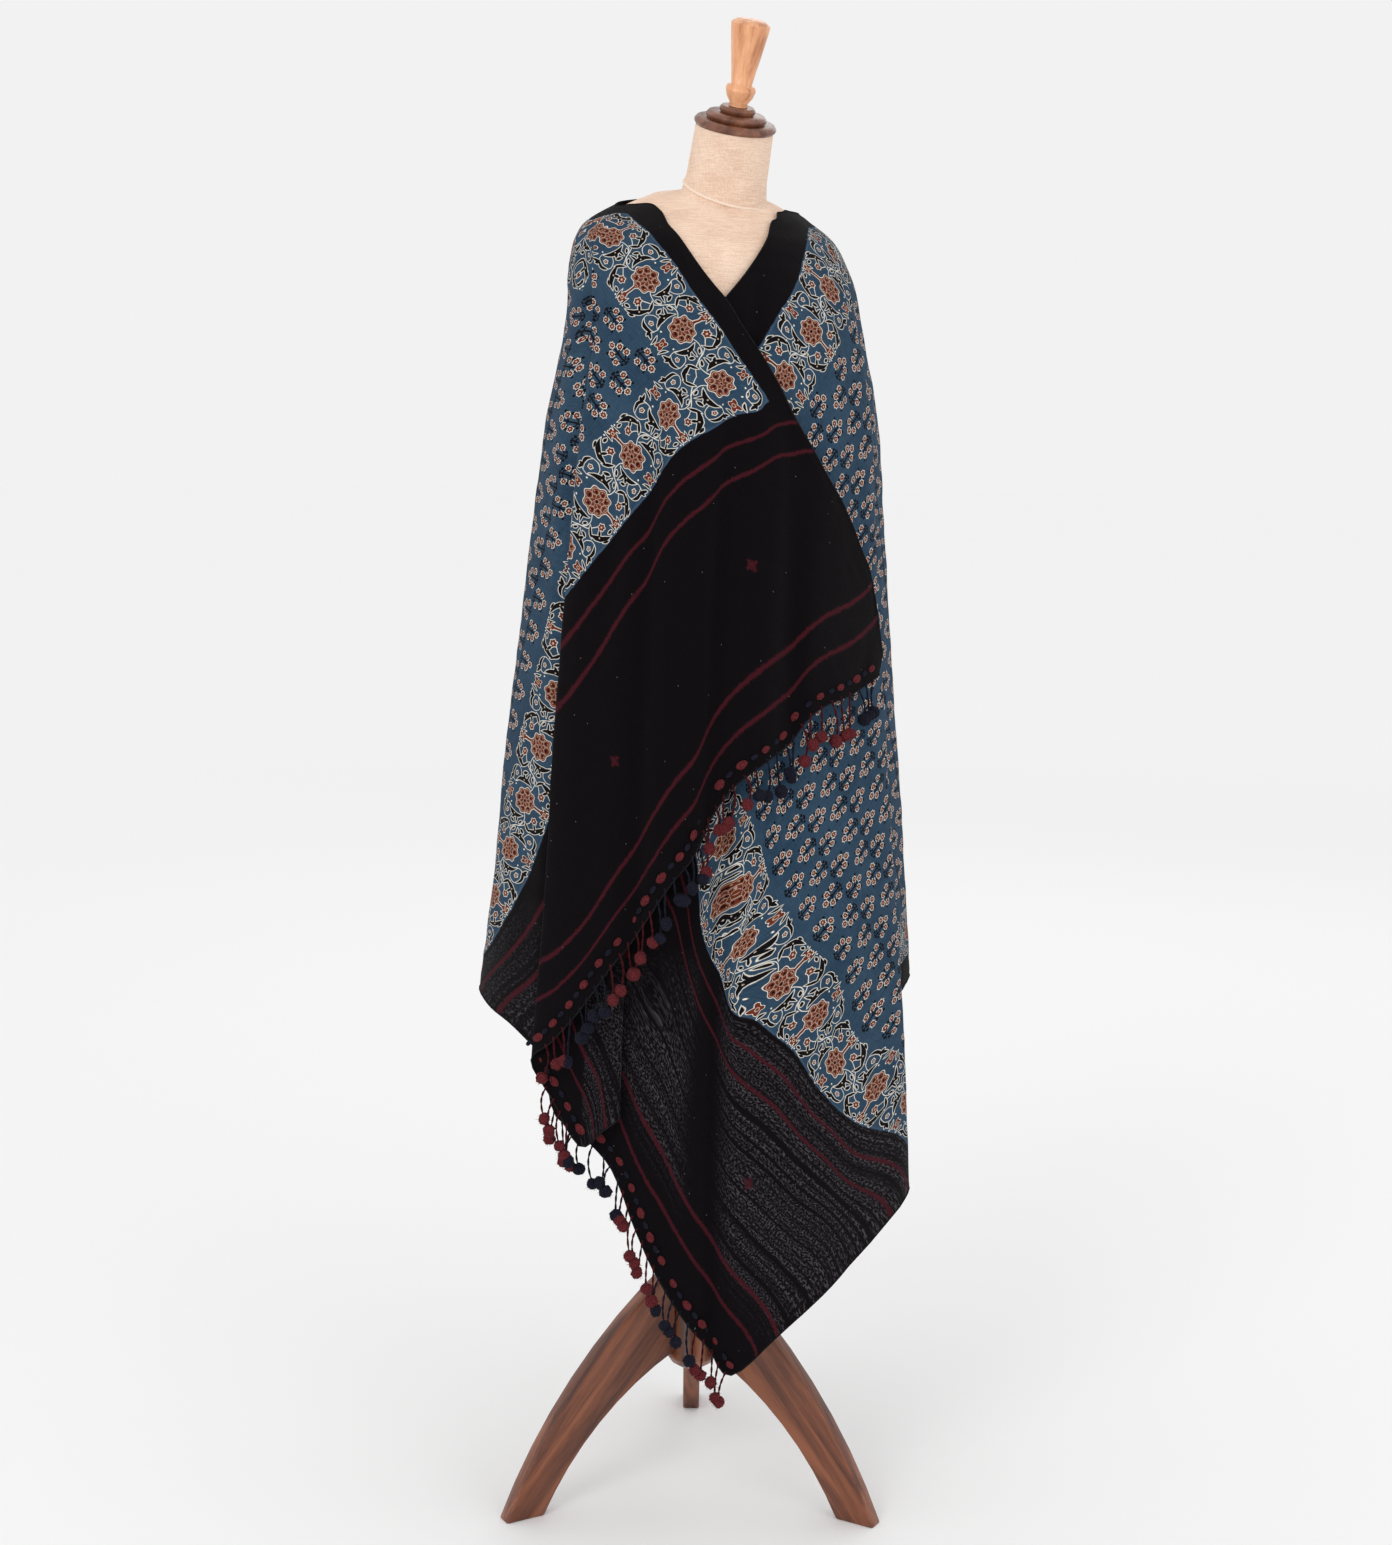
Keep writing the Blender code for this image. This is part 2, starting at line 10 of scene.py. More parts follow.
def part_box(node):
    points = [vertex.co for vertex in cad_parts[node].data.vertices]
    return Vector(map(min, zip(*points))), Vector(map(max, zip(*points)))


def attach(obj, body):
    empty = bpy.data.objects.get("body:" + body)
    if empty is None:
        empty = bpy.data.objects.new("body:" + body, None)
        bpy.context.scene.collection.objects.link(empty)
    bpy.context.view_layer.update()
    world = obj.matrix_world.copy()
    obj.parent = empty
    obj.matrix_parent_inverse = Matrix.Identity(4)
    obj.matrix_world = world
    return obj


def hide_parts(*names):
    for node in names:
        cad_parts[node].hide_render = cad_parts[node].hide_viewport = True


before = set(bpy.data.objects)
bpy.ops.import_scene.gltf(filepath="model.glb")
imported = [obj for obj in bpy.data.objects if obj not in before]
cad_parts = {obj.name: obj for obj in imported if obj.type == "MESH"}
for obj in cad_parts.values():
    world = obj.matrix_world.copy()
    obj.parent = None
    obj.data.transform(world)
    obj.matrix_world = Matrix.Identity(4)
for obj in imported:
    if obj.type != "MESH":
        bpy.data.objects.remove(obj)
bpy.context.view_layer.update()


# The camera stands 2.6 m before the drape at chest height, looking a little down, with the slight
# roll of a hand-held shot.
lens = bpy.data.cameras.new("lens")
lens.lens = 61.6
lens.sensor_width = 36.0
lens.sensor_fit = "HORIZONTAL"
viewpoint = bpy.data.objects.new("viewpoint", lens)
bpy.context.scene.collection.objects.link(viewpoint)
viewpoint.matrix_world = (
    Matrix.Translation((-0.01085, -2.619, 1.196))
    @ Matrix.Rotation(math.radians(90 - 8.24), 4, "X")
    @ Matrix.Rotation(math.radians(0.7), 4, "Z")
)
bpy.context.scene.camera = viewpoint
bpy.context.scene.view_settings.view_transform = "Standard"


# The studio: a pale floor that runs out of sight, a pale surround, and two large soft lamps in front
# with a weaker one behind.
def bare_look(name):
    look = bpy.data.materials.new(name)
    look.use_nodes = True
    return look


def give(look, node, values):
    """Sets a node's entries, or links those that are given another node's output."""
    for entry, value in values.items():
        if isinstance(value, bpy.types.NodeSocket):
            look.node_tree.links.new(value, node.inputs[entry])
        else:
            node.inputs[entry].default_value = value


def added(look, kind, values, output=0, **settings):
    """The output of a new node in a material."""
    node = look.node_tree.nodes.new("ShaderNode" + kind)
    for name, value in settings.items():
        setattr(node, name, value)
    give(look, node, values)
    return node.outputs[output]


bpy.ops.object.select_all(action="DESELECT")
bpy.ops.mesh.primitive_plane_add(size=90, location=(0, 0, 0))
floor = bpy.context.object
floor.name = "studio_floor"
floor_look = bare_look("studio_floor")
# The floor's colour is painted darker near the middle, where the lamps light it, and paler far off, where
# only the surround lights it, so that it looks evenly bright and meets the surround.
place = added(floor_look, "TexCoord", {}, "Object")
reach = added(floor_look, "VectorMath", {0: place}, "Value", operation="LENGTH")
floor_painted_light_levels = {"Value": reach, "From Max": 7.0, "To Min": 0.915, "To Max": 0.995}
floor_shader = floor_look.node_tree.nodes["Principled BSDF"]
give(floor_look, floor_shader, {"Base Color": added(floor_look, "MapRange", floor_painted_light_levels)})
give(floor_look, floor_shader, {"Roughness": 0.9, "Specular IOR Level": 0.0})
floor.data.materials.append(floor_look)
surround = bpy.data.worlds.new("studio")
surround.use_nodes = True
give(surround, surround.node_tree.nodes["Background"], {"Color": (0.888, 0.888, 0.888, 1), "Strength": 1.0})
bpy.context.scene.world = surround


def soft_lamp(name, place, target, size, power):
    lamp = bpy.data.lights.new(name, "AREA")
    lamp.shape = "DISK"
    lamp.size = size
    lamp.energy = power
    holder = bpy.data.objects.new(name, lamp)
    holder.location = place
    holder.rotation_euler = (Vector(target) - Vector(place)).to_track_quat("-Z", "Y").to_euler()
    bpy.context.scene.collection.objects.link(holder)


soft_lamp("key_lamp", (-1.8, -3.2, 2.9), (0, 0, 1.0), 1.8, 30)
soft_lamp("fill_lamp", (2.4, -2.8, 1.9), (0, 0, 0.9), 2.0, 12)
soft_lamp("back_lamp", (1.0, 3.0, 3.0), (0, 0, 1.1), 2.0, 10)


# The dupatta: one length of handloom cotton, 0.93 by 1.80 m. It hangs from the neck on rings round
# the form, and a table row gives each line down which it falls, as in the part's own source.
CENTRE = (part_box("hub")[0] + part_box("hub")[1]) / 2
CLOTH_SHIFT = np.array([CENTRE.x, CENTRE.y, 0.0])
RINGS = np.array([  # height, centre_x, centre_y, half_span, half_depth, yaw, tilt
    (1.437, 0.010, 0.012, 0.070, 0.062, 24, 14),
    (1.420, 0.006, 0.010, 0.105, 0.080, 24, 12),
    (1.398, 0.004, 0.006, 0.137, 0.096, 24, 10),
    (1.355, 0.008, 0.002, 0.153, 0.112, 23, 7),
    (1.300, 0.012, 0.000, 0.160, 0.126, 22, 4),
    (1.200, 0.010, 0.000, 0.178, 0.142, 20, 0),
    (1.060, 0.006, 0.000, 0.191, 0.146, 17, 0),
    (0.870, 0.003, 0.000, 0.209, 0.149, 14, 0),
    (0.700, 0.003, 0.000, 0.224, 0.152, 12, 0),
    (0.550, 0.001, 0.000, 0.240, 0.156, 11, 0),
    (0.370, 0.000, 0.000, 0.252, 0.160, 10, 0),
    (0.150, 0.000, 0.000, 0.262, 0.164, 10, 0),
])
FOLDS = np.array([  # top_angle, top_height, hem_angle, hem_height, top_lift, hem_lift
    (30.5, 0.952, 33.0, 0.938, 0.019, 0.020),
    (35.2, 1.035, 42.7, 0.926, 0.020, 0.022),
    (40.5, 1.068, 50.5, 0.918, 0.021, 0.026),
    (48.4, 1.115, 57.9, 0.911, 0.022, 0.030),
    (56.0, 1.150, 63.3, 0.899, 0.024, 0.032),
    (64.7, 1.200, 67.5, 0.874, 0.020, 0.025),
    (69.6, 1.236, 74.3, 0.858, 0.015, 0.033),
    (74.9, 1.267, 82.2, 0.834, 0.012, 0.034),
    (81.5, 1.298, 88.3, 0.795, 0.009, 0.025),
    (86.4, 1.324, 92.5, 0.757, 0.006, 0.033),
    (94.3, 1.354, 97.5, 0.730, 0.003, 0.034),
    (103.6, 1.387, 102.5, 0.695, 0.001, 0.033),
    (112.0, 1.400, 106.5, 0.668, 0.000, 0.026),
    (121.0, 1.412, 111.0, 0.640, 0.000, 0.034),
    (133.0, 1.421, 118.0, 0.592, 0.000, 0.033),
    (141.0, 1.4245, 125.0, 0.556, 0.000, 0.032),
    (146.0, 1.425, 131.0, 0.534, 0.000, 0.027),
    (152.0, 1.4245, 125.5, 0.495, 0.000, 0.021),
    (158.0, 1.4245, 117.6, 0.445, 0.000, 0.018),
    (163.0, 1.424, 112.0, 0.462, 0.000, 0.015),
    (168.0, 1.424, 108.2, 0.479, 0.000, 0.011),
    (174.0, 1.425, 114.0, 0.495, 0.000, 0.006),
    (180.0, 1.427, 124.0, 0.518, 0.000, 0.004),
    (186.0, 1.429, 134.0, 0.540, 0.000, 0.002),
    (193.0, 1.431, 148.0, 0.562, 0.000, 0.000),
    (201.0, 1.433, 164.0, 0.573, 0.000, 0.000),
    (209.0, 1.435, 180.0, 0.582, 0.000, 0.004),
    (218.0, 1.437, 197.0, 0.578, 0.000, 0.000),
    (228.0, 1.438, 214.0, 0.560, 0.000, 0.016),
    (240.0, 1.439, 232.0, 0.545, 0.000, 0.000),
    (254.0, 1.439, 251.0, 0.530, 0.000, 0.018),
    (270.0, 1.438, 270.0, 0.522, 0.000, 0.001),
    (286.0, 1.436, 289.0, 0.528, 0.000, 0.019),
    (300.0, 1.433, 307.0, 0.545, 0.000, 0.000),
    (312.0, 1.43, 324.0, 0.563, 0.000, 0.014),
    (322.0, 1.428, 338.0, 0.578, 0.000, 0.001),
    (331.0, 1.425, 352.0, 0.586, 0.000, 0.004),
    (339.0, 1.422, 366.0, 0.586, 0.000, 0.000),
    (346.0, 1.423, 380.0, 0.580, 0.000, 0.000),
    (353.0, 1.423, 395.0, 0.555, 0.000, -0.003),
    (360.0, 1.423, 408.0, 0.510, 0.000, -0.006),
    (366.0, 1.423, 414.0, 0.470, 0.000, -0.006),
    (371.0, 1.423, 408.0, 0.440, 0.000, -0.003),
    (376.0, 1.4235, 396.0, 0.405, 0.000, 0.000),
    (381.0, 1.422, 381.0, 0.365, 0.000, 0.004),
    (387.0, 1.4205, 389.0, 0.345, 0.000, 0.007),
    (394.0, 1.419, 407.0, 0.306, 0.000, 0.009),
    (403.0, 1.412, 419.0, 0.270, 0.000, 0.012),
    (412.0, 1.406, 430.3, 0.234, 0.000, 0.014),
    (424.0, 1.385, 441.4, 0.194, 0.000, 0.014),
    (431.7, 1.365, 446.0, 0.220, 0.000, 0.002),
    (437.0, 1.350, 450.6, 0.246, 0.000, 0.010),
    (446.1, 1.324, 457.9, 0.296, 0.000, 0.006),
    (452.0, 1.297, 464.0, 0.350, 0.000, 0.001),
    (458.0, 1.265, 470.8, 0.415, -0.002, -0.003),
    (465.0, 1.225, 479.0, 0.447, -0.005, -0.006),
    (474.0, 1.160, 491.0, 0.479, -0.007, -0.010),
    (481.0, 1.080, 494.0, 0.580, -0.008, -0.012),
    (487.0, 0.980, 494.0, 0.680, -0.009, -0.012),
    (491.0, 0.880, 493.0, 0.740, -0.010, -0.012),
    (493.0, 0.800, 494.0, 0.785, -0.011, -0.012),
])
# Soft troughs and ridges pressed into the falling cloth: the line they start on, how many lines they
# drift to the next, where they begin and end from neck edge 0 to hem 1, half width in lines, height.
CREASES = [
    (12.6, 1.2, 0.20, 0.75, 0.55, -0.0040),
    (15.2, 1.4, 0.12, 0.85, 0.32, -0.0050),
    (5.5, 1.0, 0.15, 1.10, 0.60, 0.0035),
    (8.2, -0.6, 0.25, 1.05, 0.50, -0.0035),
    (10.2, 0.4, 0.35, 1.10, 0.55, 0.0030),
    (21.0, 0.8, 0.10, 1.00, 0.60, -0.0050),
    (23.5, -0.5, 0.15, 1.05, 0.50, 0.0045),
    (25.6, 0.6, 0.10, 0.80, 0.45, -0.0035),
    (27.0, 0.4, 0.20, 1.05, 0.50, 0.0050),
    (29.3, -0.4, 0.10, 0.75, 0.40, 0.0050),
    (30.6, 0.3, 0.18, 1.05, 0.45, -0.0060),
    (32.6, -0.3, 0.12, 0.90, 0.40, 0.0050),
    (34.0, 0.5, 0.20, 1.05, 0.45, -0.0050),
    (36.2, 0.4, 0.12, 1.00, 0.50, 0.0045),
    (38.3, -0.4, 0.18, 0.90, 0.45, -0.0040),
    (40.0, 0.7, 0.15, 1.05, 0.50, 0.0035),
    (45.6, -0.2, 0.10, 1.10, 0.28, -0.0030),
    (49.2, 0.6, 0.35, 1.05, 0.40, 0.0040),
    (51.5, 0.5, 0.45, 1.05, 0.35, -0.0035),
]
CREASE_CREST = 0.62  # where along its run a crease is full
FALL_POWER = 2.2  # how soon below the neck the hem's lift is reached
NECK_RISE, NECK_RISE_DEPTH = 0.003, 0.1
COLUMNS_PER_LINE = 8
CLOTH_ROWS = 148


def between(table, place):
    """The table's row at each fractional index, smoothly between its neighbours."""
    last = len(table) - 1
    place = np.clip(place, 0, last)
    low = np.minimum(place.astype(int), last - 1)
    part = (place - low)[..., None]
    before, start, end, after = (table[np.clip(low + step, 0, last)] for step in (-1, 0, 1, 2))
    leave = (end - before) / 2
    reach = (after - start) / 2
    return (
        (2 * part**3 - 3 * part**2 + 1) * start
        + (part**3 - 2 * part**2 + part) * leave
        + (3 * part**2 - 2 * part**3) * end
        + (part**3 - part**2) * reach
    )


def ring_point(level, angle, lift):
    """The point on the rings at a level and an angle seen from the front, moved out by lift."""
    height, centre_x, centre_y, span, depth, yaw, tilt = np.moveaxis(between(RINGS, level), -1, 0)
    yaw, tilt, angle = np.radians(yaw), np.radians(tilt), np.radians(angle)
    width = np.sqrt(span**2 - (depth * np.sin(yaw)) ** 2) / np.cos(yaw)
    turn = np.arctan2(depth * np.sin(yaw), width * np.cos(yaw))
    across = (width + lift) * np.cos(turn + angle)
    forward = (depth + lift) * np.sin(turn + angle)
    x = centre_x + across * np.cos(yaw) + forward * np.sin(yaw)
    y = centre_y + across * np.sin(yaw) - forward * np.cos(yaw)
    return np.stack([x, y, height - forward * np.tan(tilt)], -1) + CLOTH_SHIFT


def level_at(angle, height, lift):
    high, low = np.zeros_like(angle), np.full_like(angle, len(RINGS) - 1.0)
    for _ in range(40):
        middle = (high + low) / 2
        above = ring_point(middle, angle, lift)[..., 2] > height
        high, low = np.where(above, middle, high), np.where(above, low, middle)
    return (high + low) / 2


LINES = np.stack(
    [
        FOLDS[:, 0],
        level_at(FOLDS[:, 0], FOLDS[:, 1], FOLDS[:, 4]),
        FOLDS[:, 2],
        level_at(FOLDS[:, 2], FOLDS[:, 3], FOLDS[:, 5]),
        FOLDS[:, 4],
        FOLDS[:, 5],
    ],
    -1,
)


def creased(place, down):
    """How far the creases push the cloth out, in metres."""
    push = np.zeros_like(place * down)
    for line, drift, start, end, half_width, height in CREASES:
        along = np.clip((down - start) / (end - start), 0, 1)
        middle = line + drift * along
        fade = np.sin(math.pi / 2 * np.minimum(along, CREASE_CREST) / CREASE_CREST) ** 2
        fade = fade * np.clip((1 - along) * 6, 0, 1) ** 0.5
        push += height * fade * np.exp(-(((place - middle) / half_width) ** 2))
    return push


def cloth(place, down, creases=True):
    """The cloth's surface: place counts the fold lines, down runs from neck edge 0 to hem 1."""
    line = between(LINES, place)
    fan = (1 - down) ** 2
    opened = 1 - (1 - down) ** FALL_POWER
    angle = line[..., 2] + (line[..., 0] - line[..., 2]) * fan
    lift = line[..., 4] + (line[..., 5] - line[..., 4]) * opened
    level = line[..., 1] + (line[..., 3] - line[..., 1]) * down
    if creases:
        lift = lift + creased(place, down)
    points = ring_point(level, angle, lift)
    points[..., 2] += NECK_RISE * np.exp(-((down / NECK_RISE_DEPTH) ** 2))
    return points


# The flat length that the drape is laid out on: u runs from the over end to the under end and v from
# the neck selvedge to the lower one. Springs of the drape's own lengths settle it, held to the rectangle
# and to where the printed field meets each black end.
WIDTH = 0.93
LENGTH = 1.80
PALLU = 0.28
OVER_CORNER = 18
UNDER_CORNER = 49
# From each first line on, the share of a line's fall at which the print meets the black end.
OVER_MEETS = (7, (0.200, 0.298, 0.388, 0.478, 0.560, 0.610, 0.640, 0.654, 0.661, 0.662))
UNDER_MEETS = (43, (0.996, 0.984, 0.960, 0.928, 0.885, 0.836, 0.776, 0.738, 0.700))
# Where the flap tucks under, its hem gives back some length: from a first line on, how far back u moves.
TUCKED = (18, (
    0.002, 0.008, 0.014, 0.020, 0.030, 0.046, 0.074, 0.100, 0.118,
    0.125, 0.120, 0.108, 0.090, 0.070, 0.050, 0.030, 0.014,
))
TUCK_POWER = 7
SPRINGS = ((1, 0), (0, 1), (1, 1), (1, -1), (2, 0), (0, 2), (4, 0), (0, 4), (2, 2), (2, -2))
GATHERED_LINE, GATHERED_ROW, GATHERED_STIFFNESS = 52, 13, 0.03  # hidden behind the over panel
SETTLING_STEPS = 4000
OVERSHOOT = 1.6


def lay_flat(lines, rows):
    """Flat places (u, v) for a grid of the cloth, lines by rows."""
    down = np.arange(rows) / (rows - 1)
    grid = cloth(np.arange(lines)[:, None] + 0.0 * down, 0.0 * np.arange(lines)[:, None] + down, False)
    top, hem = (
        np.concatenate([[0], np.cumsum(np.linalg.norm(np.diff(grid[:, row], axis=0), axis=1))])
        for row in (0, -1)
    )
    under = slice(UNDER_CORNER, None)
    over = slice(0, OVER_CORNER + 1)
    lower = slice(OVER_CORNER, UNDER_CORNER + 1)
    hem_u, hem_v = np.zeros(lines), np.full(lines, WIDTH)
    hem_v[over] = hem[over] / hem[OVER_CORNER] * WIDTH
    hem_u[lower] = (hem[lower] - hem[OVER_CORNER]) / (hem[UNDER_CORNER] - hem[OVER_CORNER]) * LENGTH
    hem_u[under] = LENGTH
    hem_v[under] = (hem[-1] - hem[under]) / (hem[-1] - hem[UNDER_CORNER]) * WIDTH
    top_u = top / top[-1] * LENGTH
    flat = np.stack([top_u[:, None] + (hem_u - top_u)[:, None] * down, hem_v[:, None] * down], -1)

    number = np.arange(lines * rows).reshape(lines, rows)
    path = np.linspace(0, 1, 9)
    first, second, rest, stiff = [], [], [], []
    for step, drop in SPRINGS:
        from_rows = np.arange(max(0, -drop), rows - max(0, drop))
        line, row = np.meshgrid(np.arange(lines - step), from_rows, indexing="ij")
        first.append(number[line, row].ravel())
        second.append(number[line + step, row + drop].ravel())
        way = cloth(line[..., None] + step * path, (row[..., None] + drop * path) / (rows - 1), False)
        rest.append(np.linalg.norm(np.diff(way, axis=2), axis=-1).sum(-1).ravel())
        gathered = (line > GATHERED_LINE) & (row < GATHERED_ROW)
        stiff.append(np.where(gathered, GATHERED_STIFFNESS, 1.0).ravel())
    first, second, rest, stiff = map(np.concatenate, (first, second, rest, stiff))
    count = lines * rows
    load = np.bincount(first, stiff, count) + np.bincount(second, stiff, count)
    for _ in range(SETTLING_STEPS):
        spots = flat.reshape(-1, 2)
        gap = spots[first] - spots[second]
        size = np.maximum(np.linalg.norm(gap, axis=1), 1e-9)
        pull = gap * (stiff * (size - rest) / size / 2)[:, None]
        move = [
            np.bincount(second, along, count) - np.bincount(first, along, count) for along in pull.T
        ]
        flat = (spots + OVERSHOOT * np.stack(move, -1) / load[:, None]).reshape(lines, rows, 2)
        flat[:, 0, 1] = 0
        flat[lower, -1, 1] = WIDTH
        flat[over, -1, 0] = 0
        flat[under, -1, 0] = LENGTH
        flat[0] = (0, 0)
        flat[-1] = (LENGTH, 0)
        for (first_line, shares), value in ((OVER_MEETS, PALLU), (UNDER_MEETS, LENGTH - PALLU)):
            for line, share in enumerate(shares, first_line):
                row = int(share * (rows - 1))
                part = share * (rows - 1) - row
                miss = value - (1 - part) * flat[line, row, 0] - part * flat[line, row + 1, 0]
                flat[line, row : row + 2, 0] += miss
        flat = np.clip(flat, 0, (LENGTH, WIDTH))
    for line, shift in enumerate(TUCKED[1], TUCKED[0]):
        flat[line, :, 0] -= shift * down**TUCK_POWER
    # Each black end then falls evenly from where it meets the print to the hem.
    for line in (*range(OVER_CORNER), *range(UNDER_CORNER - 3, lines - 3)):
        under_end = line > OVER_CORNER
        depth = LENGTH - flat[line, :, 0] if under_end else flat[line, :, 0]
        first_depth = min(depth[0], PALLU)
        share = np.interp(-first_depth, -depth, down)
        even = depth[-1] + (first_depth - depth[-1]) * (1 - down) / max(1 - share, 0.001)
        depth = np.where(down > share, even, depth)
        flat[line, :, 0] = LENGTH - depth if under_end else depth
    return flat


FLAT_ROWS = 17
flat_grid = lay_flat(len(LINES), FLAT_ROWS)


def flat_place(place, down):
    """The flat (u, v) of every pair of one place and one down, smoothly from the settled grid."""
    lines = between(flat_grid.reshape(len(flat_grid), -1), place).reshape(len(place), FLAT_ROWS, 2)
    by_row = lines.transpose(1, 0, 2).reshape(FLAT_ROWS, -1)
    rows = between(by_row, down * (FLAT_ROWS - 1))
    return rows.reshape(len(down), len(place), 2).transpose(1, 0, 2)


column_places = np.linspace(0, len(LINES) - 1, COLUMNS_PER_LINE * (len(LINES) - 1) + 1)
row_shares = np.linspace(0, 1, CLOTH_ROWS + 1)
place_grid, down_grid = np.meshgrid(column_places, row_shares, indexing="ij")
cloth_points = cloth(place_grid, down_grid)
cloth_flat = np.clip(flat_place(column_places, row_shares), 0, (LENGTH, WIDTH))


def crumpled(points, flat):
    """A slight unevenness of washed cotton, less than a millimetre in or out."""
    u, v = flat[..., 0], flat[..., 1]
    wave = 0.45 * np.sin(61 * u + 5 * np.sin(17 * v)) * np.sin(47 * v + 3 * np.sin(13 * u))
    wave += 0.25 * np.sin(139 * u + 4 * np.sin(31 * v)) * np.sin(113 * v + 3 * np.sin(43 * u))
    outward = points - CLOTH_SHIFT
    outward[..., 2] = 0
    outward /= np.linalg.norm(outward, axis=-1, keepdims=True)
    return points + outward * (0.0012 * wave)[..., None]


cloth_points = crumpled(cloth_points, cloth_flat)
columns, rows = place_grid.shape
corner = (np.arange(columns - 1)[:, None] * rows + np.arange(rows - 1)).ravel()
cloth_quads = np.stack([corner, corner + rows, corner + rows + 1, corner + 1], -1)
cloth_mesh = bpy.data.meshes.new("dupatta")
cloth_mesh.from_pydata(cloth_points.reshape(-1, 3).tolist(), [], cloth_quads.tolist())
cloth_mesh.shade_smooth()
flat_map = cloth_mesh.uv_layers.new(name="flat_cloth")
flat_map.uv.foreach_set("vector", cloth_flat.reshape(-1, 2)[cloth_quads.ravel()].astype(np.float32).ravel())
dupatta = bpy.data.objects.new("dupatta", cloth_mesh)
bpy.context.scene.collection.objects.link(dupatta)

# Where one layer of the black hangs with the light behind it, the light through its open weave is painted in
# as paler speckle, and this attribute marks where that painted light goes. A pleat down the middle of the
# under end and its doubled hem get none of it and stay dark.
painted_backlight = cloth_mesh.attributes.new("painted_backlight", "FLOAT", "POINT")
under_end, tucked_flap = (place_grid > 40) & (place_grid < 56), (place_grid > 18) & (place_grid < 30)
low_front = np.clip((0.66 - cloth_points[..., 2]) / 0.12, 0, 1) * under_end
sunk = np.clip((0.62 - cloth_points[..., 2]) / 0.15, 0, 1)
pleat = np.exp(-(((cloth_points[..., 0] - 0.006 + 0.006 * sunk) / (0.012 + 0.013 * sunk)) ** 4))
doubled = np.clip((LENGTH - cloth_flat[..., 0] - 0.045) / 0.04, 0, 1)
flap = np.clip((0.70 - cloth_points[..., 2]) / 0.10, 0, 1) * tucked_flap * 0.7
painted_backlight.data.foreach_set("value", (low_front * (1 - pleat) * doubled + flap).ravel().astype(np.float32))

# The print: indigo, rust, cream and black struck with carved blocks, worked out as distances in
# millimetres on the flat cloth. Black ends carry woven maroon stripes and small crosses.
cotton = bare_look("printed_cotton")


class Spread:
    """A value that varies over the cloth, in millimetres where it is a distance."""

    def __init__(self, socket):
        self.socket = socket

    def __add__(self, other):
        return work("ADD", self, other)

    def __sub__(self, other):
        return work("SUBTRACT", self, other)

    def __rsub__(self, other):
        return work("SUBTRACT", other, self)

    def __mul__(self, other):
        return work("MULTIPLY", self, other)

    def __neg__(self):
        return work("MULTIPLY", self, -1.0)

    def __abs__(self):
        return work("ABSOLUTE", self)


def spread(kind, values, output=0, **settings):
    """The output of a new node in the cotton's look."""
    values = {entry: value.socket if isinstance(value, Spread) else value for entry, value in values.items()}
    return Spread(added(cotton, kind, values, output, **settings))


def split(kind, whole):
    """The first two parts of a place or a colour."""
    first = spread(kind, {0: whole})
    return first, Spread(first.socket.node.outputs[1])


def work(kind, *values, held=False):
    return spread("Math", dict(enumerate(values)), operation=kind, use_clamp=held)


def least(*values):
    found = values[0]
    for value in values[1:]:
        found = work("MINIMUM", found, value)
    return found


def most(*values):
    found = values[0]
    for value in values[1:]:
        found = work("MAXIMUM", found, value)
    return found


def spot(x, y):
    return spread("CombineXYZ", {0: x, 1: y})


def apart(at, x, y):
    """How far a spot is from a fixed point."""
    return spread("VectorMath", {0: at, 1: (x, y, 0)}, "Value", operation="DISTANCE")


def disc(at, x, y, radius):
    return apart(at, x, y) - radius


def hoop(at, x, y, radius, half):
    return abs(disc(at, x, y, radius)) - half


def flower(at, x, y, radius, petals, deep=0.15):
    """A round flower with wavy petals."""
    across, up = split("SeparateXYZ", spread("VectorMath", {0: at, 1: (x, y, 0)}, operation="SUBTRACT"))
    petal = work("COSINE", work("ARCTAN2", up, across) * petals)
    return work("MULTIPLY_ADD", petal, -radius * deep, apart(at, x, y) - radius)


def arc_centre(start, end, bulge):
    """The centre and radius of the arc from start to end that stands out to its left by bulge."""
    start, end = Vector(start), Vector(end)
    chord = end - start
    side = Vector((-chord.y, chord.x)).normalized()
    radius = (chord.length_squared / 4 + bulge**2) / (2 * bulge)
    centre = (start + end) / 2 + side * (bulge - radius)
    return centre, abs(radius)


def leaf(at, start, end, outer, inner):
    """A pointed leaf between two arcs. With inner on the outer side of the chord it is a crescent."""
    centre, radius = arc_centre(start, end, outer)
    far = disc(at, centre.x, centre.y, radius)
    centre, radius = arc_centre(start, end, inner)
    near = disc(at, centre.x, centre.y, radius)
    return most(far, near if inner * outer < 0 else -near)


def stem(at, start, end, bulge, half):
    """A thin curved line."""
    centre, radius = arc_centre(start, end, bulge)
    middle = (Vector(start) + Vector(end)) / 2
    reach = (Vector(end) - Vector(start)).length / 2
    return most(hoop(at, centre.x, centre.y, radius, half), disc(at, middle.x, middle.y, reach + half))


def covered(distance, edge=0.5):
    """1 inside a shape and 0 outside it, with the soft edge of a printed mark."""
    return work("MULTIPLY_ADD", distance, -1 / edge, 0.5, held=True)


def speckle(at, scale, detail=1.0, output="Fac"):
    values = {"Vector": at, "Scale": scale, "Detail": detail}
    return spread("TexNoise", values, output, noise_dimensions="2D")


def blended(share, first, second):
    """Two colours, mixed by the share of the second."""
    first, second = (colour if isinstance(colour, Spread) else (*colour, 1) for colour in (first, second))
    return spread("Mix", {"Factor": share, 6: first, 7: second}, 2, data_type="RGBA")


BORDER = 32.0
BAND = 75.0
BAND_MIDDLE = 38.0
REPEAT = 66.0
SELVEDGE_REPEAT = 64.8
SPRIG_U = 55.0
SPRIG_V = 36.0
half_length = LENGTH * 500
half_width = WIDTH * 500

